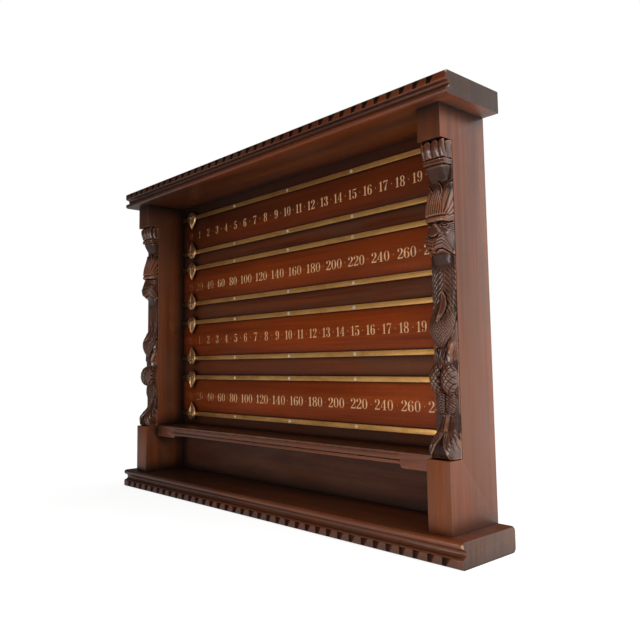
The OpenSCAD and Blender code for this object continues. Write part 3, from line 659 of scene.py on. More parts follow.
boardLook = {"corniceHeights": (0.017, 0.011, 0.012), "corniceWorn": 0.002,
    "baseHeights": (0.018, 0.013, 0.012), "baseWorn": 0.009, "corner": 0.0045, "sink": 0.010,
    "soft": 0.0007, "pitch": 0.0302, "cuts": 36, "stray": 0.0006, "cutWidth": 0.018, "cutDepth": 0.0080,
    "footWidth": 0.0090, "footDepth": 0.0040, "floor": 0.50, "cutShare": 0.84, "lip": 0.0014, "seed": 7}


def arc(y, z, radius, start, end, steps):
    turns = [math.radians(start + (end - start) * k / steps) for k in range(steps + 1)]
    return [(y + radius * math.cos(turn), z + radius * math.sin(turn)) for turn in turns]


def mouldedOutline(front, back, carved, cove, bead):  # from the underside up, the carved moulding lowest
    corner, sink = boardLook["corner"], boardLook["sink"]
    radius = (sink ** 2 + cove ** 2 / 4) / (2 * sink)
    reach = math.degrees(math.asin(cove / 2 / radius))
    hollow = arc(front + sink - radius, carved + cove / 2, radius, -reach, reach, 10)
    outline = [(back, 0)] + arc(front + corner, corner, corner, 270, 180, 6)
    outline += arc(front + corner, carved - corner, corner, 180, 90, 6) + hollow
    outline += arc(front + bead / 2, carved + cove + bead / 2, bead / 2, 270, 90, 12)[1:]
    return outline + [(back, carved + cove + bead)]


def chipCutter(x, front, z0, z1, dice):  # upright on its left, a short floor, then sloping out to the right
    look = boardLook
    clearSelection()
    bpy.ops.mesh.primitive_circle_add(vertices=5, radius=1, fill_type="NGON")
    cutter = bpy.context.object
    editMode("SELECT")
    bpy.ops.mesh.extrude_region_move(TRANSFORM_OT_translate={"value": (0, 0, 1)})
    objectMode()
    wide = look["cutWidth"] * dice.uniform(0.92, 1.06)
    deep = look["cutDepth"] * dice.uniform(0.88, 1.04)
    for order, vertex in enumerate(cutter.data.vertices):
        broad = vertex.co.z < 0.5
        width = wide if broad else look["footWidth"]
        depth = deep if broad else look["footDepth"]
        floor = (width * look["floor"], depth * 0.9)
        right, inwards = ((0, -0.004), (0, depth), floor, (width, 0.0003), (width, -0.004))[order % 5]
        vertex.co = (x - look["cutWidth"] / 2 + right, front + inwards, z0 if broad else z1)
    faceOutwards(cutter)
    return cutter


def makeBoard(name, node, crownUp):
    look = boardLook
    low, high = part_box(node)
    carved, cove, bead = look[name + "Heights"]
    outline = [(y, low.z + z) for y, z in mouldedOutline(low.y, high.y, carved, cove, bead)]
    if crownUp:  # the cornice carries its carved moulding on top
        outline = [(y, low.z + high.z - z) for y, z in outline]
    board = profileBar(name, outline, low.x, high.x)
    pick(board)
    editMode("DESELECT", "VERT")
    objectMode()
    for vertex in board.data.vertices:  # the wall corners of both ends are worn round
        vertex.select = abs(abs(vertex.co.x) - high.x) < 0.0002 and abs(vertex.co.y - high.y) < 0.0002
    editMode()
    bpy.ops.mesh.bevel(offset=look[name + "Worn"], segments=4, affect="VERTICES")
    objectMode()
    softenEdges(board, look["soft"], 2, 38)
    dice = random.Random(look["seed"])
    edge = high.z if crownUp else low.z
    reach = look["cutShare"] * carved
    cutters = []
    for order in range(look["cuts"]):
        x = (order - (look["cuts"] - 1) / 2) * look["pitch"] + dice.uniform(-look["stray"], look["stray"])
        lip = look["lip"] * dice.uniform(0.5, 1.3)  # the chips stop just short of the outer arris
        z0, z1 = (edge - lip, edge - reach) if crownUp else (edge + reach, edge + lip)
        cutters.append(chipCutter(x, low.y, z0, z1, dice))
    carve(board, joinAll("chips", cutters))
    faceOutwards(board)
    smoothByAngle(board, 38)
    finishPiece(board, corniceWood if crownUp else caseWood, node=node, endMaterial=endWood)
    board.data.materials.append(chipShadeWood)
    for polygon in board.data.polygons:  # the floors and slopes of the chips, painted darker as shade and dust
        x, y, z = polygon.center
        deep = low.y + 0.0022 < y < low.y + look["cutDepth"] * 1.06 and abs(x) < high.x - 0.002
        if deep and 0.001 < abs(z - edge) < reach + 0.0005 and polygon.normal.y < 0.2:
            polygon.material_index = 2


makeBoard("cornice", "cornice_board", True)
makeBoard("base", "base_board", False)
print("stage: cornice and base made")


# Uprights: the side drawn as an outline, then the cuts for boards, shelf and hanger

uprightLook = {"soft": 0.0009, "recessDepth": 0.033, "recessLow": 0.162, "recessHigh": 0.706,
    "rebate": 0.012, "boardFront": 0.0645, "shelfLow": 0.1349, "shelfHigh": 0.163, "housing": 0.006,
    "pocketLow": 0.676, "pocketHigh": 0.701, "pocketDepth": 0.011, "pocketHalf": 0.007,
    "plateRoom": 0.0001}


def makeUpright(name, node, side):
    look = uprightLook
    low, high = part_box(node)
    recess = low.y + look["recessDepth"]
    outline = [(high.y, low.z), (low.y, low.z), (low.y, look["recessLow"]), (recess, look["recessLow"]),
        (recess, look["recessHigh"]), (low.y, look["recessHigh"]), (low.y, high.z), (high.y, high.z)]
    upright = profileBar(name, outline, low.x, high.x)
    inner = low.x if side > 0 else high.x

    def cut(depthIn, y0, y1, z0, z1):
        ends = sorted((inner - side * 0.001, inner + side * depthIn))
        carve(upright, block("cutter", (ends[0], y0, z0), (ends[1], y1, z1)))

    cut(look["rebate"], look["boardFront"], high.y + 0.001, low.z - 0.001, high.z + 0.001)
    cut(look["housing"], recess, look["boardFront"], look["shelfLow"], look["shelfHigh"])
    plateLow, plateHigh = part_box(node.replace("upright", "hanger"))
    middle = (plateLow.x + plateHigh.x) / 2
    room = look["plateRoom"]
    carve(upright, block("cutter", (plateLow.x - room, plateLow.y, plateLow.z - room),
        (plateHigh.x + room, high.y + 0.001, plateHigh.z + room)))
    half = look["pocketHalf"]
    carve(upright, block("cutter", (middle - half, high.y - look["pocketDepth"], look["pocketLow"]),
        (middle + half, high.y + 0.001, look["pocketHigh"])))
    softenEdges(upright, look["soft"], 3, 38)
    smoothByAngle(upright, 38)
    finishPiece(upright, uprightWood, node=node)


makeUpright("upright_left", "left_upright", -1)
makeUpright("upright_right", "right_upright", 1)
print("stage: uprights made")


# Shelf: its front drawn as an outline, with a bead run along the underside of the thinner middle

shelfLook = {"middle": 0.021, "endX": 0.390, "ogee": 0.007, "grooveUp": 0.0068, "grooveHalf": 0.0011,
    "grooveDepth": 0.0030, "lineDown": 0.0035, "lineHalf": 0.0006, "lineDepth": 0.0012,
    "stopRadius": 0.0026, "soft": 0.0008}


def makeShelf():
    look = shelfLook
    low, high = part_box("shelf")
    thin = high.z - look["middle"]
    ogee, endX = look["ogee"], look["endX"]
    quarter = [(endX + ogee - ogee * math.cos(turn), thin - ogee * math.sin(turn))
        for turn in [math.radians(90 * k / 7) for k in range(8)]]
    right = [(endX - 0.0012, thin)] + quarter + [(high.x, low.z), (high.x, high.z)]
    outline = [(-x, z) for x, z in reversed(right)] + right
    shelf = drawnOut("shelf_board", [(x, low.y, z) for x, z in outline], (0, high.y - low.y, 0))
    rise = thin + look["grooveUp"]
    for middle, half, deep in ((rise, look["grooveHalf"], look["grooveDepth"]),
            (high.z - look["lineDown"], look["lineHalf"], look["lineDepth"])):
        groove = [(low.y - 0.001, middle - half - 0.0004), (low.y + deep, middle - 0.0003),
            (low.y + deep, middle + 0.0003), (low.y - 0.001, middle + half + 0.0004)]
        carve(shelf, profileBar("groove", groove, -endX + 0.004, endX - 0.004))
    for side in (-1, 1):  # a round stop where the groove ends
        clearSelection()
        bpy.ops.mesh.primitive_cylinder_add(vertices=20, radius=look["stopRadius"], depth=0.005,
            rotation=(math.pi / 2, 0, 0), location=(side * (endX - 0.002), low.y, rise))
        carve(shelf, bpy.context.object)
    softenEdges(shelf, look["soft"], 3, 38)
    smoothByAngle(shelf, 38)
    finishPiece(shelf, shelfWood, node="shelf")


makeShelf()
print("stage: shelf made")


# Number strips: plain boards with eased arrises

stripLook = {"soft": 0.0006}


def makeStrip(name, node):
    low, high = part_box(node)
    strip = block(name, low, high)
    softenEdges(strip, stripLook["soft"], 2, 30)
    smoothByAngle(strip, 35)
    finishPiece(strip, stripWood, node=node)


for number in range(1, 5):
    makeStrip(f"strip_board_{number}", f"number_strip_{number}")
print("stage: strips made")


# Rails: one T section with eased edges, copied to the other seven places

railLook = {"faceHalf": 0.0055, "faceDepth": 0.002, "footHalf": 0.003, "corner": 0.0009, "soft": 0.00015}
railPlaces = [(level, number) for level in ("upper", "lower") for number in range(1, 5)]


def makeRail():
    look = railLook
    low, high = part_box("upper_rail_1")
    corner, half, foot = look["corner"], look["faceHalf"], look["footHalf"]
    step = low.y + look["faceDepth"]
    outline = arc(low.y + corner, half - corner, corner, 90, 180, 4)
    outline += arc(low.y + corner, corner - half, corner, 180, 270, 4)
    outline += [(step, -half), (step, -foot), (high.y, -foot), (high.y, foot), (step, foot), (step, half)]
    rail = profileBar("rail", outline, low.x, high.x)
    softenEdges(rail, look["soft"], 2, 50)
    smoothByAngle(rail, 40)
    return rail


railPattern = makeRail()
for level, number in railPlaces:
    low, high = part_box(f"{level}_rail_{number}")
    copied = copyTo(railPattern, f"{level}_brass_rail_{number}", (0, 0, (low.z + high.z) / 2))
    finishPiece(copied, railBrass, node=f"{level}_rail_{number}")
bpy.data.objects.remove(railPattern)
print("stage: rails made")


# Screw heads of the rails: one slotted, slightly domed head, copied to every place

screwLook = {"radius": 0.0040, "thick": 0.0022, "ring": 0.0005, "rises": (0.0, 0.00012, 0.00008),
    "proud": 0.00035, "slot": 0.0009, "slotDepth": 0.0008, "soft": 0.00012, "spacing": 0.2151,
    "shift": -0.0085, "twist": 0.5, "seed": 3}


def makeScrewHead():
    look = screwLook
    clearSelection()
    bpy.ops.mesh.primitive_cylinder_add(vertices=28, radius=look["radius"], depth=look["thick"],
        rotation=(math.pi / 2, 0, 0))
    head = bpy.context.object
    settle(head)
    editMode("DESELECT", "FACE")
    objectMode()
    for face in head.data.polygons:
        face.select = face.normal.y < -0.9
    editMode()
    for rise in look["rises"]:  # three narrow rings make the low dome
        bpy.ops.mesh.inset(thickness=look["ring"])
        bpy.ops.transform.translate(value=(0, -rise, 0))
    objectMode()
    carve(head, block("slot", (-look["slot"] / 2, -0.003, -0.006),
        (look["slot"] / 2, look["slotDepth"] - look["thick"] / 2, 0.006)))
    softenEdges(head, look["soft"], 1, 40)
    smoothByAngle(head, 35)
    return head


def makeScrewHeads():
    look = screwLook
    head = makeScrewHead()
    dice = random.Random(look["seed"])
    heads = []
    for level, number in railPlaces:
        low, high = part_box(f"{level}_rail_{number}")
        depth = low.y + look["thick"] / 2 - look["proud"] + sum(look["rises"])
        for order in range(-2, 3):
            twin = copyTo(head, "head")
            twin.data.transform(Matrix.Rotation(dice.uniform(-look["twist"], look["twist"]), 4, "Y"))
            twin.data.transform(Matrix.Translation((order * look["spacing"] + look["shift"], depth,
                (low.z + high.z) / 2)))
            heads.append(twin)
    bpy.data.objects.remove(head)
    finishPiece(joinAll("rail_screw_heads", heads), screwBrass, node="rail_screws")


makeScrewHeads()
print("stage: screws made")


# Pointers: one spade with a ridge, two lobes and a tail scroll, copied to all eight rails

pointerLook = {"halfWidth": 0.0195, "tip": 0.031, "tail": 0.0175, "middle": 0.003, "rings": 16,
    "around": 96, "gripHalf": 0.009, "gripGap": 0.0058, "gripThick": 0.002, "gripBack": 0.0041,
    "lipIn": 0.0036, "lipFront": 0.0026, "soft": 0.0002, "seat": 0.0003}
spadeShares = [(0, 1), (0.15, 0.90), (0.34, 0.775), (0.51, 0.665), (0.67, 0.55), (0.82, 0.415),
    (0.94, 0.255), (1, 0.07), (0.975, -0.19), (0.86, -0.48), (0.67, -0.73), (0.41, -0.92), (0.18, -0.99),
    (0, -1)]


def spadeOutline(count):  # even points round the spade, clockwise from its tip
    look = pointerLook
    right = [(a * look["halfWidth"], b * (look["tip"] if b > 0 else look["tail"])) for a, b in spadeShares]
    ring = np.array(right + [(-a, b) for a, b in reversed(right[1:-1])] + [right[0]])
    steps = np.concatenate(([0], np.cumsum(np.hypot(*np.diff(ring, axis=0).T))))
    at = np.linspace(0, steps[-1], count, endpoint=False)
    return np.stack([np.interp(at, steps, ring[:, 0]), np.interp(at, steps, ring[:, 1])], -1)


def pointerRelief(x, z, share):  # millimetres above the back, share 0 in the middle and 1 at the rim
    dome = np.clip(1 - share ** 2.6, 0, None) ** 0.62
    h = 2.6 + 3.6 * dome
    ridge = np.exp(-(x / 1.3) ** 2) * np.clip((z + 4) / 10, 0, 1) * np.clip((30 - z) / 8, 0, 1)
    h = h + 1.5 * ridge * dome
    for side in (-1, 1):
        lobe = np.exp(-(((x * side - 8.6) / 4.6) ** 2 + ((z + 3.0) / 5.6) ** 2))
        h = h + 1.5 * lobe
        vein = np.exp(-((x * side - 2.2 - (18 - z) * 0.34) / 0.8) ** 2)
        h = h - 0.8 * (vein * np.clip((20 - z) / 6, 0, 1) * np.clip((z + 3) / 5, 0, 1)) * dome
        curl = np.hypot(x * side - 9.0, z + 3.6)
        h = h - 0.7 * np.exp(-((curl - 4.6) / 0.7) ** 2) * dome
    h = h - 1.3 * np.exp(-(x / 1.5) ** 2) * np.clip((-4 - z) / 6, 0, 1)  # a groove down the tail
    h = h + 1.9 * np.clip(1 - (np.hypot(x, z + 0.5) / 3.4) ** 2, 0, None) ** 0.5  # the button in the middle
    rim = np.clip((share - 0.86) / 0.14, 0, 1)
    return np.clip(h - 1.3 * rim ** 2, 0.8, 8.0)


def makePointer():
    look = pointerLook
    outline = spadeOutline(look["around"])
    clearSelection()
    bpy.ops.mesh.primitive_circle_add(vertices=look["around"], radius=1, fill_type="NOTHING")
    spade = bpy.context.object
    spade.name = "pointer"
    for vertex, (x, z) in zip(spade.data.vertices, outline):
        vertex.co = (x, 0, z)
    editMode("SELECT")
    past = 1.0
    shares = [1 - k / look["rings"] for k in range(1, look["rings"])]
    for share in shares:  # ring inside ring, drawn in towards the middle
        bpy.ops.mesh.extrude_edges_move(TRANSFORM_OT_translate={"value": (0, 0, 0)})
        bpy.ops.transform.resize(value=(share / past,) * 3, center_override=(0, 0, look["middle"]))
        past = share
    bpy.ops.mesh.edge_face_add()
    objectMode()
    places = np.array([vertex.co[:] for vertex in spade.data.vertices])
    order = np.arange(len(places)) // look["around"]
    share = np.array([1.0] + shares)[np.clip(order, 0, len(shares))]
    heights = pointerRelief(places[:, 0] * 1000, places[:, 2] * 1000, share) / 1000
    for vertex, height in zip(spade.data.vertices, heights):
        vertex.co.y = -height
    closeBack(spade, 0)
    parts = [spade]
    gap, half = look["gripGap"], look["gripHalf"]
    for side in (-1, 1):  # the lips that hold it on its rail
        for kind, near, far, front in (("grip", gap, gap + look["gripThick"], -0.001),
                ("lip", look["lipIn"], gap + 0.001, look["lipFront"])):
            ends = sorted((side * near, side * far))
            parts.append(block(kind, (-half, front, ends[0]), (half, look["gripBack"], ends[1])))
    for part in parts[1:]:
        softenEdges(part, look["soft"], 2, 30)
    spade = joinAll("pointer", parts)
    smoothByAngle(spade, 45)
    return spade


pointerPattern = makePointer()
for level, number in railPlaces:
    node = f"{level}_pointer_{number}"
    low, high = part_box(node)
    railLow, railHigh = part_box(f"{level}_rail_{number}")
    place = ((low.x + high.x) / 2, railLow.y - pointerLook["seat"], (railLow.z + railHigh.z) / 2)
    flip = (1, 1, -1) if level == "upper" else None  # the upper ones point down
    copied = copyTo(pointerPattern, f"{level}_spade_{number}", place, flip)
    finishPiece(copied, pointerBrass, body=node, node=node)
bpy.data.objects.remove(pointerPattern)
print("stage: pointers made")


# Carved figures: the relief in front of the recess's back, in millimetres. The
# masses are heights at a place across (x) and up (z). The cuts are then made
# square to the surface, at a distance (w) measured round it from the middle.

figureLook = {"middle": 0.503, "side": 60, "rows": 640, "half": 24.85, "low": 162.15, "high": 705.85,
    "least": 1.2, "most": 30.9, "apart": 0.03, "smoothing": 0.35, "backShare": 0.97}
ground = 3.4  # the plain surface behind the forms
smallCones = (10.6, 255, 10.8, 21.5, 2.2)  # middle across and up, half width and height, squareness
largeCones = (12.2, 295.5, 12.3, 27.0, 2.1)


def curve(v, places, values, ease=1.6):  # a smooth run through stations
    table = np.arange(places[0] - 12, places[-1] + 12, 0.4)
    raw = np.interp(table, places, values)
    reach = np.arange(-12, 13)
    weights = np.exp(-(reach * 0.4 / ease) ** 2 / 2)
    padded = np.pad(raw, 12, mode="edge")
    return np.interp(v, table, np.convolve(padded, weights / weights.sum(), mode="valid"))


def blend(a, b, v):  # 0 up to a and 1 from b on, eased between them
    t = np.clip((v - a) / (b - a), 0, 1)
    return t * t * (3 - 2 * t)


def across(x, half, square):  # a rounded section, 1 in the middle and 0 from its edge on
    return np.clip(1 - (np.abs(x) / half) ** square, 0, None) ** (1 / square)


def dome(x, z, cx, cz, rx, rz, power):  # an oval swelling, 1 at its middle
    aside, along = np.abs(x - cx) / rx, np.abs(z - cz) / rz
    return np.clip(1 - aside ** power - along ** power, 0, None) ** (1 / power)


def ridges(v, pitch, sharp):  # rounded ridges, 1 at their tops and 0 in the grooves
    return np.abs(np.cos(np.pi * v / pitch)) ** sharp


def scales(u, v, pitch, power):  # lozenge scales, 1 in their middles
    a = np.abs(((u / pitch + v / pitch) % 1) - 0.5) * 2
    b = np.abs(((u / pitch - v / pitch) % 1) - 0.5) * 2
    return (1 - a ** power) * (1 - b ** power)


def groove(v, width):  # 1 in its middle, fading to both sides
    return np.exp(-(v / width) ** 2)


def form(x, z, span, high, wide, square, base=ground):  # one carved form between two heights, 0 elsewhere
    within = (z > span[0]) & (z < span[1])
    return np.where(within, base + (high - base) * across(x, wide, square), 0)


def band(x, z, middle, half, power, heights, wide, square):  # a roll that runs right across
    roll = np.clip(1 - ((z - middle) / half) ** power, 0, None) ** 0.5
    return np.where(roll > 0, ground + (heights[0] + heights[1] * roll) * across(x, wide, square), 0)


def figureMass(x, z):  # x from 0 at the middle
    forms = []

    # foot: a flare that stands on the lower block
    high = curve(z, [160, 165, 171, 178, 186, 192, 200, 206, 212, 222, 232],
        [26, 27, 30.4, 31, 30, 26, 19, 14, 10, 6.5, 4.6])
    wide = curve(z, [160, 180, 190, 200, 210, 222, 236], [24.8, 24.8, 24.4, 22.5, 19.0, 14.0, 10.0])
    forms.append(form(x, z, (0, 238), high, wide, curve(z, [160, 190, 205, 225], [6.5, 5.0, 3.0, 2.4])))

    # small pair, then the large pair of cones and the wood above them
    forms.append(ground + 8.6 * dome(x, z, *smallCones) ** 0.8)
    forms.append(ground + 25.6 * dome(x, z, *largeCones) ** 0.85)
    high = curve(z, [312, 322, 334, 346, 352], [14.0, 12.0, 13.0, 12.0, 11.0])
    forms.append(ground + high * across(x, 17.0, 2.4) * blend(306, 314, z) * (1 - blend(346, 354, z)))

    # plain side leaves, pointed downwards
    share = np.clip((z - 322) / 84, 0.001, 0.999)
    half = np.interp(share, [0, 0.4, 0.75, 1], [1.0, 9.5, 9.0, 3.0])
    middle = np.interp(share, [0, 0.5, 1], [11.5, 15.0, 18.0])
    high = curve(z, [322, 338, 356, 380, 406], [7.0, 15.8, 13.0, 10.0, 5.0])
    forms.append(form(x - middle, z, (322, 406), high, half, 2.4))

    # pod: a drop, its point downwards
    high = curve(z, [344, 349, 357, 366, 378, 388, 397, 406, 416, 428],
        [9, 15.8, 21.6, 24.6, 26.2, 25.0, 21.0, 15.5, 10.5, 6.5], 1.2)
    wide = np.interp(z, [344, 348, 354, 362, 370, 384, 396, 408, 418, 428],
        [0.6, 5.0, 11.0, 17.0, 21.5, 24.6, 24.4, 22.0, 18.0, 12.0])
    forms.append(form(x, z, (344, 428), high, wide, 3.2))

    # breast, throat
    high = curve(z, [398, 420, 440, 457, 480, 492, 502, 510], [6.0, 7.8, 6.2, 5.2, 5.0, 6.4, 9.0, 13.0])
    wide = curve(z, [398, 420, 440, 460, 480, 500], [17.0, 21.5, 23.0, 23.0, 21.5, 19.0])
    forms.append(form(x, z, (398, 510), high, wide, 2.8, 3.0))

    # head: cheeks and a broad snout faired into them
    high = curve(z, [506, 512, 520, 532, 546, 560, 566], [14.0, 17.0, 18.0, 17.5, 17.5, 19.0, 19.5], 1.2)
    wide = curve(z, [506, 514, 524, 540, 566], [16.0, 21.0, 23.0, 23.8, 24.0])
    head = form(x, z, (507.5, 568), high, wide, 3.0)
    high = curve(z, [508, 512, 516, 522, 530, 535, 540, 548, 558, 566],
        [19.0, 25.0, 29.5, 30.8, 30.9, 30.9, 30.6, 29.4, 27.5, 25.0], 0.9)
    wide = curve(z, [508, 514, 522, 532, 537, 547, 557, 566], [19.5, 23.0, 27.0, 36.0, 38.0, 25.0, 12.0, 9.0])
    snout = ground + (high - ground) * across(x, wide, 1.75) * across(x, 24.7, 6.0)
    snout = np.where((z > 508.5) & (z < 566), snout, 0)
    both = (head + snout + np.sqrt((head - snout) ** 2 + 6.0)) / 2 - 0.3
    forms.append(np.where((z > 507.5) & (z < 567), both, 0))

    # brow roll and the mass of the crest
    forms.append(band(x, z, 567.0 + 4.5 * blend(19, 24.5, np.abs(x)), 5.6, 2, (19.4, 5.4), 24.6, 2.7))
    high = curve(z, [564, 574, 592, 604, 614, 626, 638, 648], [23.5, 24.4, 21.2, 16.8, 13.0, 9.2, 6.8, 5.0])
    forms.append(form(x, z, (568, 648), high, 24.4, 2.8))

    # necking, band and capital
    high = curve(z, [610, 622, 636, 644, 652, 658, 664], [4.6, 5.4, 7.6, 12.6, 17.4, 20.6, 23.0])
    wide = curve(z, [610, 636, 644, 654, 664], [17.0, 18.5, 20.0, 22.5, 23.6])
    forms.append(form(x, z, (610, 663), high, wide, 4.0))
    forms.append(band(x, z, 667.2, 5.4, 4, (19.2, 2.6), 24.2, 6.0))
    high = curve(z, [671, 678, 688, 697, 702, 707], [23.4, 26.0, 29.6, 30.8, 29.8, 25.5])
    wide = curve(z, [671, 684, 700, 707], [23.4, 24.4, 24.8, 24.6])
    forms.append(form(x, z, (672.4, 710), high, wide, 6.5))
    return np.max([np.broadcast_to(one, x.shape) for one in forms + [ground]], axis=0)


def figureCuts(w, x, z, side):  # w and x from the middle outwards; the two sides differ a little
    wander = 0.5 * np.sin(z * 0.23 + side * 1.7) + 0.35 * np.sin(w * 0.31 + z * 0.11 + side)
    w = w + 0.35 * wander
    plainer = (1 - blend(506, 512, z)) * blend(476, 486, z)
    d = 0.12 * np.sin(z * 0.31 + w * 0.42 + side * 2.0) * np.sin(w * 0.37 - z * 0.23) * (1 - plainer)
    # the dark marks below are dust and painted shade in the cuts
    dirtAndShade = 0.35 * plainer

    # capital: two flutes and a half to each side of the middle, rounded at their tops
    inside = blend(673.5, 676.0, z)
    lobe = ridges(w - 8.3, 16.6, 0.7)
    deep = curve(z, [673, 684, 700], [1.2, 2.4, 3.6])
    d = d + inside * (-deep * (1 - lobe) + 0.4 * lobe)
    crown = 704.2 - 6.0 * (1 - lobe) ** 0.9
    d = d - 4.5 * blend(0, 3.0, z - crown)
    for place in (0.0, 16.6, 33.2, 49.8):
        d = d - 1.2 * inside * groove(w - place, 1.0)
    d = d - 2.4 * groove(z - 672.9, 0.9) - 2.2 * groove(z - 661.4, 1.0)
    d = d + 0.7 * groove(z - 670.2, 0.8) * (z > 668)

    # necking: fine slanting cuts
    neck = blend(616, 622, z) * (1 - blend(657.5, 660, z))
    hatch = ridges(w + (z - 640) * 0.42, 3.3, 0.6)
    cross = ridges(w - (z - 640) * 0.9, 3.1, 0.7)
    d = d + neck * (0.5 * hatch + 0.4 * cross - 0.6)
    dirtAndShade = dirtAndShade + 0.75 * neck * (1 - 0.4 * hatch)

    # crest: pointed leaves. The middle one has upright strands, those of the
    # side ones fan out from the brow's corner.
    angle = np.degrees(np.arctan2(w, z - 552.0))
    reach = np.hypot(w, z - 552.0)
    tip = np.interp(angle, [0, 3, 6, 8.6, 10, 12, 15, 19, 24, 30, 38, 50, 90],
        [83, 80, 75, 69, 68, 74, 81, 85.5, 86, 84, 84, 90, 110])
    leaf = blend(0, 2.6, tip - reach) * blend(571, 573.5, z)
    d = d + 2.4 * leaf
    edge = blend(573, 578, z)
    d = d + edge * (0.8 * groove(tip - reach - 1.3, 1.1) - 1.6 * groove(tip - reach + 1.2, 1.5))
    dirtAndShade = dirtAndShade + 0.6 * edge * groove(tip - reach + 1.6, 2.2)
    part = np.interp(z, [570, 600, 622], [15.5, 13.0, 10.5])
    fan = np.degrees(np.arctan2(w - 15.0, z - 562.0))
    upright = ridges(w * (1 + (z - 570) * 0.002) + 0.8 * np.sin(z * 0.06), 4.3, 0.7)
    spread = ridges(fan - 4.0 + 0.004 * np.clip(z - 560, 0, None) ** 1.5, 15.0, 0.75)
    strand = np.where(w < part, upright, spread)
    bare = blend(15.0, 6.0, tip - reach)
    d = d + leaf * (1 - bare) * (2.3 * strand - 1.5) * blend(571, 575, z)
    # painted highlight on the strands' tops, with their wear
    rub = 0.9 * leaf * (1 - bare) * strand ** 2 * (1 - blend(604, 622, z))
    d = d - 1.8 * leaf * groove(w - part, 1.1) * blend(574, 580, z)
    dirtAndShade = dirtAndShade + 0.5 * leaf * (1 - bare) * (1 - strand) ** 2
    lift = 3.5 * blend(26, 46, w)  # the brow rises at its corners
    d = d - 2.4 * groove(z - 572.8 - lift, 1.1) * (w < 47)

    # face: the underside of the brow, eye, nostril and the bands of the lip
    d = d - 2.6 * groove(z - 560.8 - lift, 1.3) * (1 - 0.4 * blend(30, 40, w))
    dirtAndShade = dirtAndShade + 0.5 * groove(z - 560.0, 2.4)
    eye = np.hypot((w - 19.0) / 1.6, (z - 556.5 + 0.12 * (w - 19.0)) / 0.85)
    d = d + 1.1 * np.clip(1 - (eye / 2.5) ** 2, 0, None) ** 0.5
    d = d - 1.8 * groove(eye - 3.1, 0.7) + 0.7 * groove(eye - 4.4, 0.7) - 0.7 * groove(eye - 5.8, 0.7)
    dirtAndShade = dirtAndShade + 0.8 * groove(eye - 2.4, 1.6)
    fold = ridges(z - 0.35 * w, 3.7, 0.7)
    around = blend(29, 32, w) * blend(540, 545, z) * (1 - blend(560, 564, z - lift))
    d = d + (1.3 * fold - 0.9) * around
    dirtAndShade = dirtAndShade + 0.6 * (1 - fold) * around
    nostril = z - (534.5 + 0.035 * w * w)
    wing, end = 1 - blend(9.0, 13.0, w), np.hypot(w - 9.0, z - 538.0)
    d = d - 2.6 * groove(nostril, 1.4) * wing - 1.2 * groove(end, 2.2)
    dirtAndShade = dirtAndShade + 0.9 * groove(nostril, 1.8) * wing + 0.8 * groove(end, 2.6)
    lipAt = np.interp(w, [0, 8, 17, 24, 31, 38, 46, 50],
        [520.5, 524.0, 526.5, 520.0, 510.0, 499.0, 488.0, 482.0])
    slant = np.interp(w, [0, 10, 24, 46], [1.0, 1.0, 0.84, 0.68])
    off = (z - lipAt) * slant
    half = np.interp(w, [0, 17, 24, 31, 38, 50], [8.6, 9.0, 8.0, 6.6, 5.6, 5.0])
    lip = np.clip(1 - (off / half) ** 4, 0, None) ** 0.5
    bands = ridges(off - 1.0, 5.2, 0.75)
    d = d + 1.9 * lip + lip * (1.3 * bands - 0.9)
    dirtAndShade = dirtAndShade + 0.5 * lip * (1 - bands) ** 2
    d = d - 3.0 * groove(off + half + 1.0, 1.2) * (z > 484)
    d = d - 1.2 * groove(off - half - 0.9, 0.9) * blend(10, 13, w)
    dirtAndShade = dirtAndShade + 0.8 * groove(off + half + 1.0, 1.6) * (z > 484)

    # breast: feathers in a herringbone, each with its quill
    field = blend(400, 408, z) * (1 - blend(468, 486, z - 0.35 * w))
    vee = z + 1.2 * w
    amount = field * (0.55 if side < 0 else 1.0)
    feather = ridges(vee + 1.2 * np.sin(w * 0.35), 9.4, 0.6)
    d = d + amount * (1.9 * feather - 1.4)
    d = d - amount * 0.7 * groove(((w + 1.0) % 12.0) - 6.0, 0.7)
    d = d + amount * 0.35 * ridges(vee + 2.2 * w, 2.9, 0.8)
    dirtAndShade = dirtAndShade + 0.55 * field * (1 - feather) ** 1.5

    # long leaf over the pod, the pod's stipple, plain side leaves
    half = np.interp(z, [390, 396, 407, 420, 434, 446], [0.2, 4.0, 8.0, 8.8, 6.0, 0.2])
    leaf = np.clip(1 - w / np.maximum(half, 0.1), 0, 1) * (z > 390) * (z < 446)
    over = blend(0, 0.12, leaf)
    d = d * (1 - over) + over * (1.4 + 3.0 * leaf)
    around = blend(3.2, 0, np.abs(w - half - 1.0)) * (z > 394) * (z < 444) * (leaf <= 0)
    d = d - 1.5 * around
    dirtAndShade = dirtAndShade * (1 - over) + 0.7 * around
    podWide = np.interp(z, [344, 348, 354, 362, 372, 384, 396, 408, 418, 428],
        [0.6, 6.0, 13.0, 21.0, 28.5, 34, 35, 31, 24.0, 14.0])
    pod = blend(0.5, 2.5, podWide - w) * blend(346, 350, z) * (1 - blend(412, 424, z)) * (1 - over)
    cell = scales(w + 0.8 * np.sin(z * 0.17), z * 0.9 + 0.7 * np.sin(w * 0.33), 5.2, 2.6)
    d = d + pod * (1.3 * cell - 0.8)
    dirtAndShade = dirtAndShade + 0.45 * pod * (1 - cell)
    rim = groove(w - podWide - 0.9, 1.1) * blend(349, 353, z) * (1 - blend(404, 412, z))
    d = d - 1.9 * rim
    dirtAndShade = dirtAndShade + 0.8 * rim
    beside = blend(1.0, 3.0, w - podWide) * blend(384, 388, z) * (1 - blend(404, 412, z))
    d = d + beside * (ridges(z + 0.35 * w, 4.2, 0.7) - 0.7)
    between = blend(324, 328, z) * (1 - blend(346, 352, z)) * blend(14, 10, w)
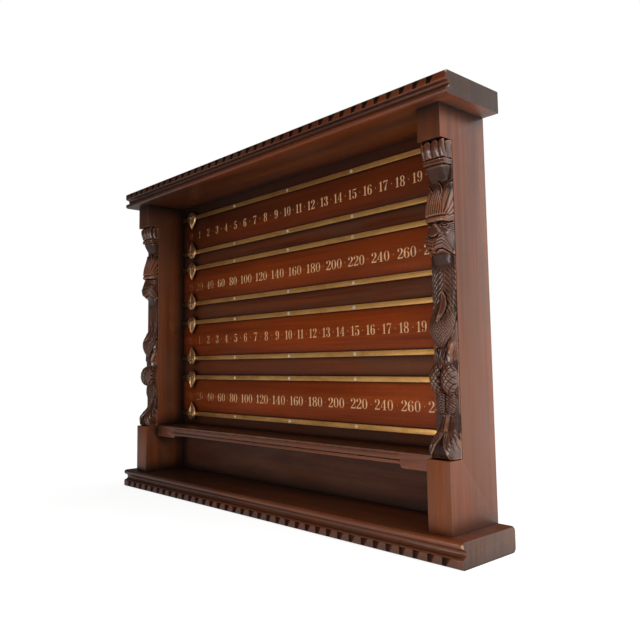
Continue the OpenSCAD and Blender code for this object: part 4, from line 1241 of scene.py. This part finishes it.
    d = d - between * 1.8 * groove(((w + 0.2 * (z - 324)) % 7.0) - 3.5, 0.9)
    dirtAndShade = dirtAndShade + 0.45 * between
    gap = groove(w - np.interp(z, [322, 340, 352], [4.0, 9.0, 13.0]), 1.3) * (z > 322) * (z < 354)
    d = d - 1.6 * gap
    dirtAndShade = dirtAndShade + 0.6 * gap

    # cones: lozenge scales on the large pair, fine slanting barbs on the small one
    cone = blend(0.05, 0.3, dome(x, z, *largeCones))
    cell = scales(x * 1.25 + 1.5, (z - 292) * 0.75, 8.6, 5.0)
    d = d + cone * (2.0 * cell ** 0.7 - 1.2)
    dirtAndShade = dirtAndShade + 0.65 * cone * (1 - cell)
    small = blend(0.05, 0.3, dome(x, z, *smallCones)) * (1 - cone)
    barb = ridges(z * 0.9 + 0.55 * np.abs(w - 10.5), 4.0, 0.7)
    d = d + small * (1.5 * barb - 1.0 - 0.9 * groove(w - 10.5, 0.9))
    dirtAndShade = dirtAndShade + small * (0.25 + 0.4 * (1 - barb))
    parting = groove(w, 1.5) * blend(236, 242, z) * (1 - blend(314, 320, z))
    d = d - 2.2 * parting
    dirtAndShade = dirtAndShade + 0.8 * parting

    # foot: plain leaf lobes with a rim, either side of a stippled wedge
    edge = (202.5 - z) / 39 * 18.0
    wedge = blend(-0.5, 0.9, edge - w) * (z < 204)
    d = d - wedge * (2.8 - 1.1 * scales(w, z, 4.2, 2.4))
    dirtAndShade = dirtAndShade + 0.8 * wedge
    rim = groove(w - edge - 1.7, 1.2) * (z < 206)
    d = d + 1.2 * rim - 1.4 * groove(w - edge, 0.8) * (z < 205)
    lobes = (1 - wedge) * (1 - rim) * blend(172, 182, z) * (1 - blend(202, 210, z))
    spread = np.degrees(np.arctan2(w - 2.0, 216.0 - z))
    streak = ridges(spread - 3.0, 13.0, 0.7)
    d = d + lobes * (1.9 * streak - 1.2) * blend(46, 38, w)
    dirtAndShade = dirtAndShade + 0.35 * lobes * (1 - streak)
    d = d - 3.0 * groove(z - 162.4, 1.0)
    dirtAndShade = dirtAndShade + 0.3 * blend(206, 212, z) * (1 - blend(234, 244, z)) * blend(6, 12, w)
    stem = groove(w, 4.0) * blend(204, 209, z) * (1 - blend(232, 240, z))
    beside = groove(w - 6.0, 1.4) * blend(204, 209, z) * (1 - blend(232, 240, z))
    d = d + 2.6 * stem - 1.3 * beside
    dirtAndShade = dirtAndShade + 0.5 * beside

    # painted lighter, as rubbed wear and painted highlight: the brow, the side leaves, the stem and the
    # foot's sides
    rub = rub + 0.8 * groove(z - 567.5 - 4.0 * blend(24, 40, w), 3.6)
    rub = rub + 0.5 * blend(322, 330, z) * (1 - blend(352, 362, z)) * blend(12, 16, w)
    rub = rub + 0.5 * stem + 0.45 * blend(176, 184, z) * (1 - blend(196, 204, z)) * blend(30, 36, w)
    return d, np.clip(dirtAndShade, 0, 1), np.clip(rub, 0, 1)


def makeFigure(name, node, middle):
    look = figureLook
    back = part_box(node)[1].y
    count = look["side"]
    clearSelection()
    bpy.ops.mesh.primitive_grid_add(x_subdivisions=2 * count, y_subdivisions=look["rows"], size=2)
    figure = bpy.context.object
    figure.name = name
    total = len(figure.data.vertices)
    places = np.zeros(total * 3)
    figure.data.vertices.foreach_get("co", places)
    places = places.reshape(-1, 3)
    rows = look["rows"] + 1
    z = look["low"] + (np.arange(rows) / look["rows"]) * (look["high"] - look["low"])
    fine = np.linspace(0, look["half"], 420)
    mass = figureMass(*np.meshgrid(fine, z))
    steps = np.hypot(np.diff(fine)[None, :], np.diff(mass, axis=1))
    run = np.concatenate((np.zeros((rows, 1)), np.cumsum(steps, axis=1)), axis=1)
    shape = np.zeros((rows, 2 * count + 1, 3))
    tone = np.zeros((rows, 2 * count + 1, 4))
    for side in (-1, 1):
        at = np.linspace(0, 1, count + 1)[None, :] * run[:, -1:]
        x = np.stack([np.interp(a, r, fine) for a, r in zip(at, run)])
        h = np.stack([np.interp(a, r, m) for a, r, m in zip(at, run, mass)])
        tall = np.repeat(z[:, None], count + 1, 1)
        cut, dirtAndShade, rub = figureCuts(at, x, tall, side)
        soft = cut
        for axis, reach in ((0, 3), (1, 2)):  # hollow or proud of its surroundings
            soft = sum(np.roll(soft, shift, axis) for shift in range(-reach, reach + 1)) / (2 * reach + 1)
        # hollows painted darker, as dust and painted shade, and proud forms lighter, as wear and painted
        # highlight
        dirtAndShade = np.clip(dirtAndShade + 0.55 * (soft - cut), 0, 1)
        proud = np.clip(0.8 * (cut - soft) + rub, 0, 1) * (1 - dirtAndShade)
        fade = np.clip((look["half"] - x) / 0.5 + np.clip(h - 3.6, 0, 1), 0, 1)
        alongX, alongH = np.gradient(x, axis=1), np.gradient(h, axis=1)
        upH = np.gradient(h, axis=0) / np.gradient(tall, axis=0)
        normal = np.stack([-alongH, -alongX * upH, alongX + 1e-6], -1)
        normal /= np.linalg.norm(normal, axis=2, keepdims=True)
        cut = (cut * fade)[..., None]
        solid = np.stack([x, tall, h], -1) + normal * cut
        # rows and columns never fall together at the limits
        aside = np.arange(count + 1) * look["apart"]
        aloft = np.arange(rows)[:, None] * look["apart"]
        solid[..., 0] = np.clip(solid[..., 0], aside, look["half"] - aside[::-1] * 0.6)
        solid[..., 1] = np.clip(solid[..., 1], look["low"] + aloft, look["high"] - aloft[::-1])
        solid[..., 2] = np.clip(solid[..., 2], look["least"], look["most"])
        colors = np.stack([dirtAndShade, proud, dirtAndShade * 0, dirtAndShade * 0 + 1], -1)
        if side > 0:
            shape[:, count:] = solid
            tone[:, count:] = colors
        else:
            shape[:, :count + 1] = (solid * (-1, 1, 1))[:, ::-1]
            tone[:, :count + 1] = colors[:, ::-1]
    shape[:, count, 0] = 0
    column = np.rint((places[:, 0] + 1) / 2 * 2 * count).astype(int)
    row = np.rint((places[:, 1] + 1) / 2 * look["rows"]).astype(int)
    found = shape[row, column]
    places[:, 0] = middle + found[:, 0] / 1000
    places[:, 1] = back - found[:, 2] / 1000
    places[:, 2] = found[:, 1] / 1000
    figure.data.vertices.foreach_set("co", places.ravel())
    figure.data.update()
    layer = figure.data.attributes.new("tone", "FLOAT_COLOR", "POINT")
    layer.data.foreach_set("color", tone[row, column].ravel())
    smooth = figure.modifiers.new("smooth", "SMOOTH")
    smooth.factor = look["smoothing"]
    smooth.iterations = 1
    applyModifiers(figure)
    closeBack(figure, back, middle, look["backShare"])  # narrower behind, so a dark joint shows round it
    smoothByAngle(figure, 60)
    finishPiece(figure, carvedWood, node=node)


makeFigure("carved_figure_left", "left_carving", -figureLook["middle"])
makeFigure("carved_figure_right", "right_carving", figureLook["middle"])
print("stage: figures carved")


# Stage, light and camera. The room is bright behind and to the right of the
# case and dim in front of it to the left, where its faces would mirror it.

stageLook = {"floor": (0.5, 0.5, 0.5), "bright": 1.3, "dim": 0.07, "towards": (0.72, 0.68, 0.10),
    "from": 0.30, "to": 0.92, "floorTowards": (0.72, 0.69, 0), "floorLit": (-0.3, 1.3, 0.30, 0.95),
    "floorSeen": 0.86}


def makeStage():
    look = stageLook
    clearSelection()
    bpy.ops.mesh.primitive_plane_add(size=14, location=(0, 0, -0.0002))
    floor = bpy.context.object
    floor.name = "floor"
    material, tree, shader = newMaterial("pale floor")
    along = vectorValue(tree, "DOT_PRODUCT", ownPlace(tree), look["floorTowards"])
    glow = mapRange(tree, along, *look["floorLit"])  # its glow is painted bounce light, brighter towards the lit side of the room
    seen = addNode(tree, "ShaderNodeLightPath").outputs["Is Camera Ray"]  # pure white where it is looked at
    strength = mapRange(tree, seen, 0.0, 1.0, glow, look["floorSeen"])
    fill(tree, shader, {"Base Color": look["floor"], "Roughness": 0.9, "Specular IOR Level": 0.1,
        "Emission Color": (1, 1, 1), "Emission Strength": strength})
    floor.data.materials.append(material)
    world = bpy.data.worlds.new("studio")
    bpy.context.scene.world = world
    world.use_nodes = True
    tree = world.node_tree
    around = addNode(tree, "ShaderNodeTexCoord").outputs["Generated"]
    facing = vectorValue(tree, "DOT_PRODUCT", around, Vector(look["towards"]).normalized())
    glow = mapRange(tree, facing, look["from"], look["to"], look["dim"], look["bright"], "SMOOTHSTEP")
    seen = addNode(tree, "ShaderNodeLightPath").outputs["Is Camera Ray"]
    strength = mapRange(tree, seen, 0.0, 1.0, glow, 1.0)
    fill(tree, tree.nodes["Background"], {"Color": (1, 1, 1), "Strength": strength})


lampLook = {  # place, what it faces, width and height, power
    "key": ((1.7, -2.1, 3.5), (0, 0, 0.4), (1.2, 1.0), 10.0),
    "glint": ((1.7, -2.1, 3.5), (0, 0, 0.4), (0.34, 0.34), 5.0),
    "side": ((2.5, 0.1, 2.7), (0.5, 0, 0.4), (1.4, 1.2), 21.0),
    "low": ((0.8, -1.5, 0.10), (0.1, 0, 0.0), (2.2, 0.3), 17.0)}


def addLamp(name, place, target, size, power):
    light = bpy.data.lights.new(name, "AREA")
    light.shape = "RECTANGLE"
    light.size, light.size_y = size
    light.energy = power
    lamp = newObject(name, light)
    lamp.visible_camera = False
    lamp.location = place
    lamp.rotation_euler = (Vector(target) - Vector(place)).to_track_quat("-Z", "Y").to_euler()


makeStage()
for name, values in lampLook.items():
    addLamp(name, *values)

cameraLook = {"place": (1.22518, -0.97216, 0.32792), "forward": (-0.72281, 0.68462, 0.09400),
    "right": (0.68642, 0.72701, -0.01673), "lens": 38.71, "shift": (-0.0189, -0.0371)}


def makeCamera():
    look = cameraLook
    forward = Vector(look["forward"]).normalized()
    right = Vector(look["right"]).normalized()
    up = right.cross(forward)
    camera = bpy.data.cameras.new("camera")
    camera.lens = look["lens"]
    camera.sensor_width = 36
    camera.shift_x, camera.shift_y = look["shift"]
    eye = newObject("camera", camera)
    turn = Matrix((right, up, -forward)).transposed()
    eye.matrix_world = Matrix.Translation(look["place"]) @ turn.to_4x4()
    bpy.context.scene.camera = eye


makeCamera()
bpy.context.scene.view_settings.view_transform = "Standard"
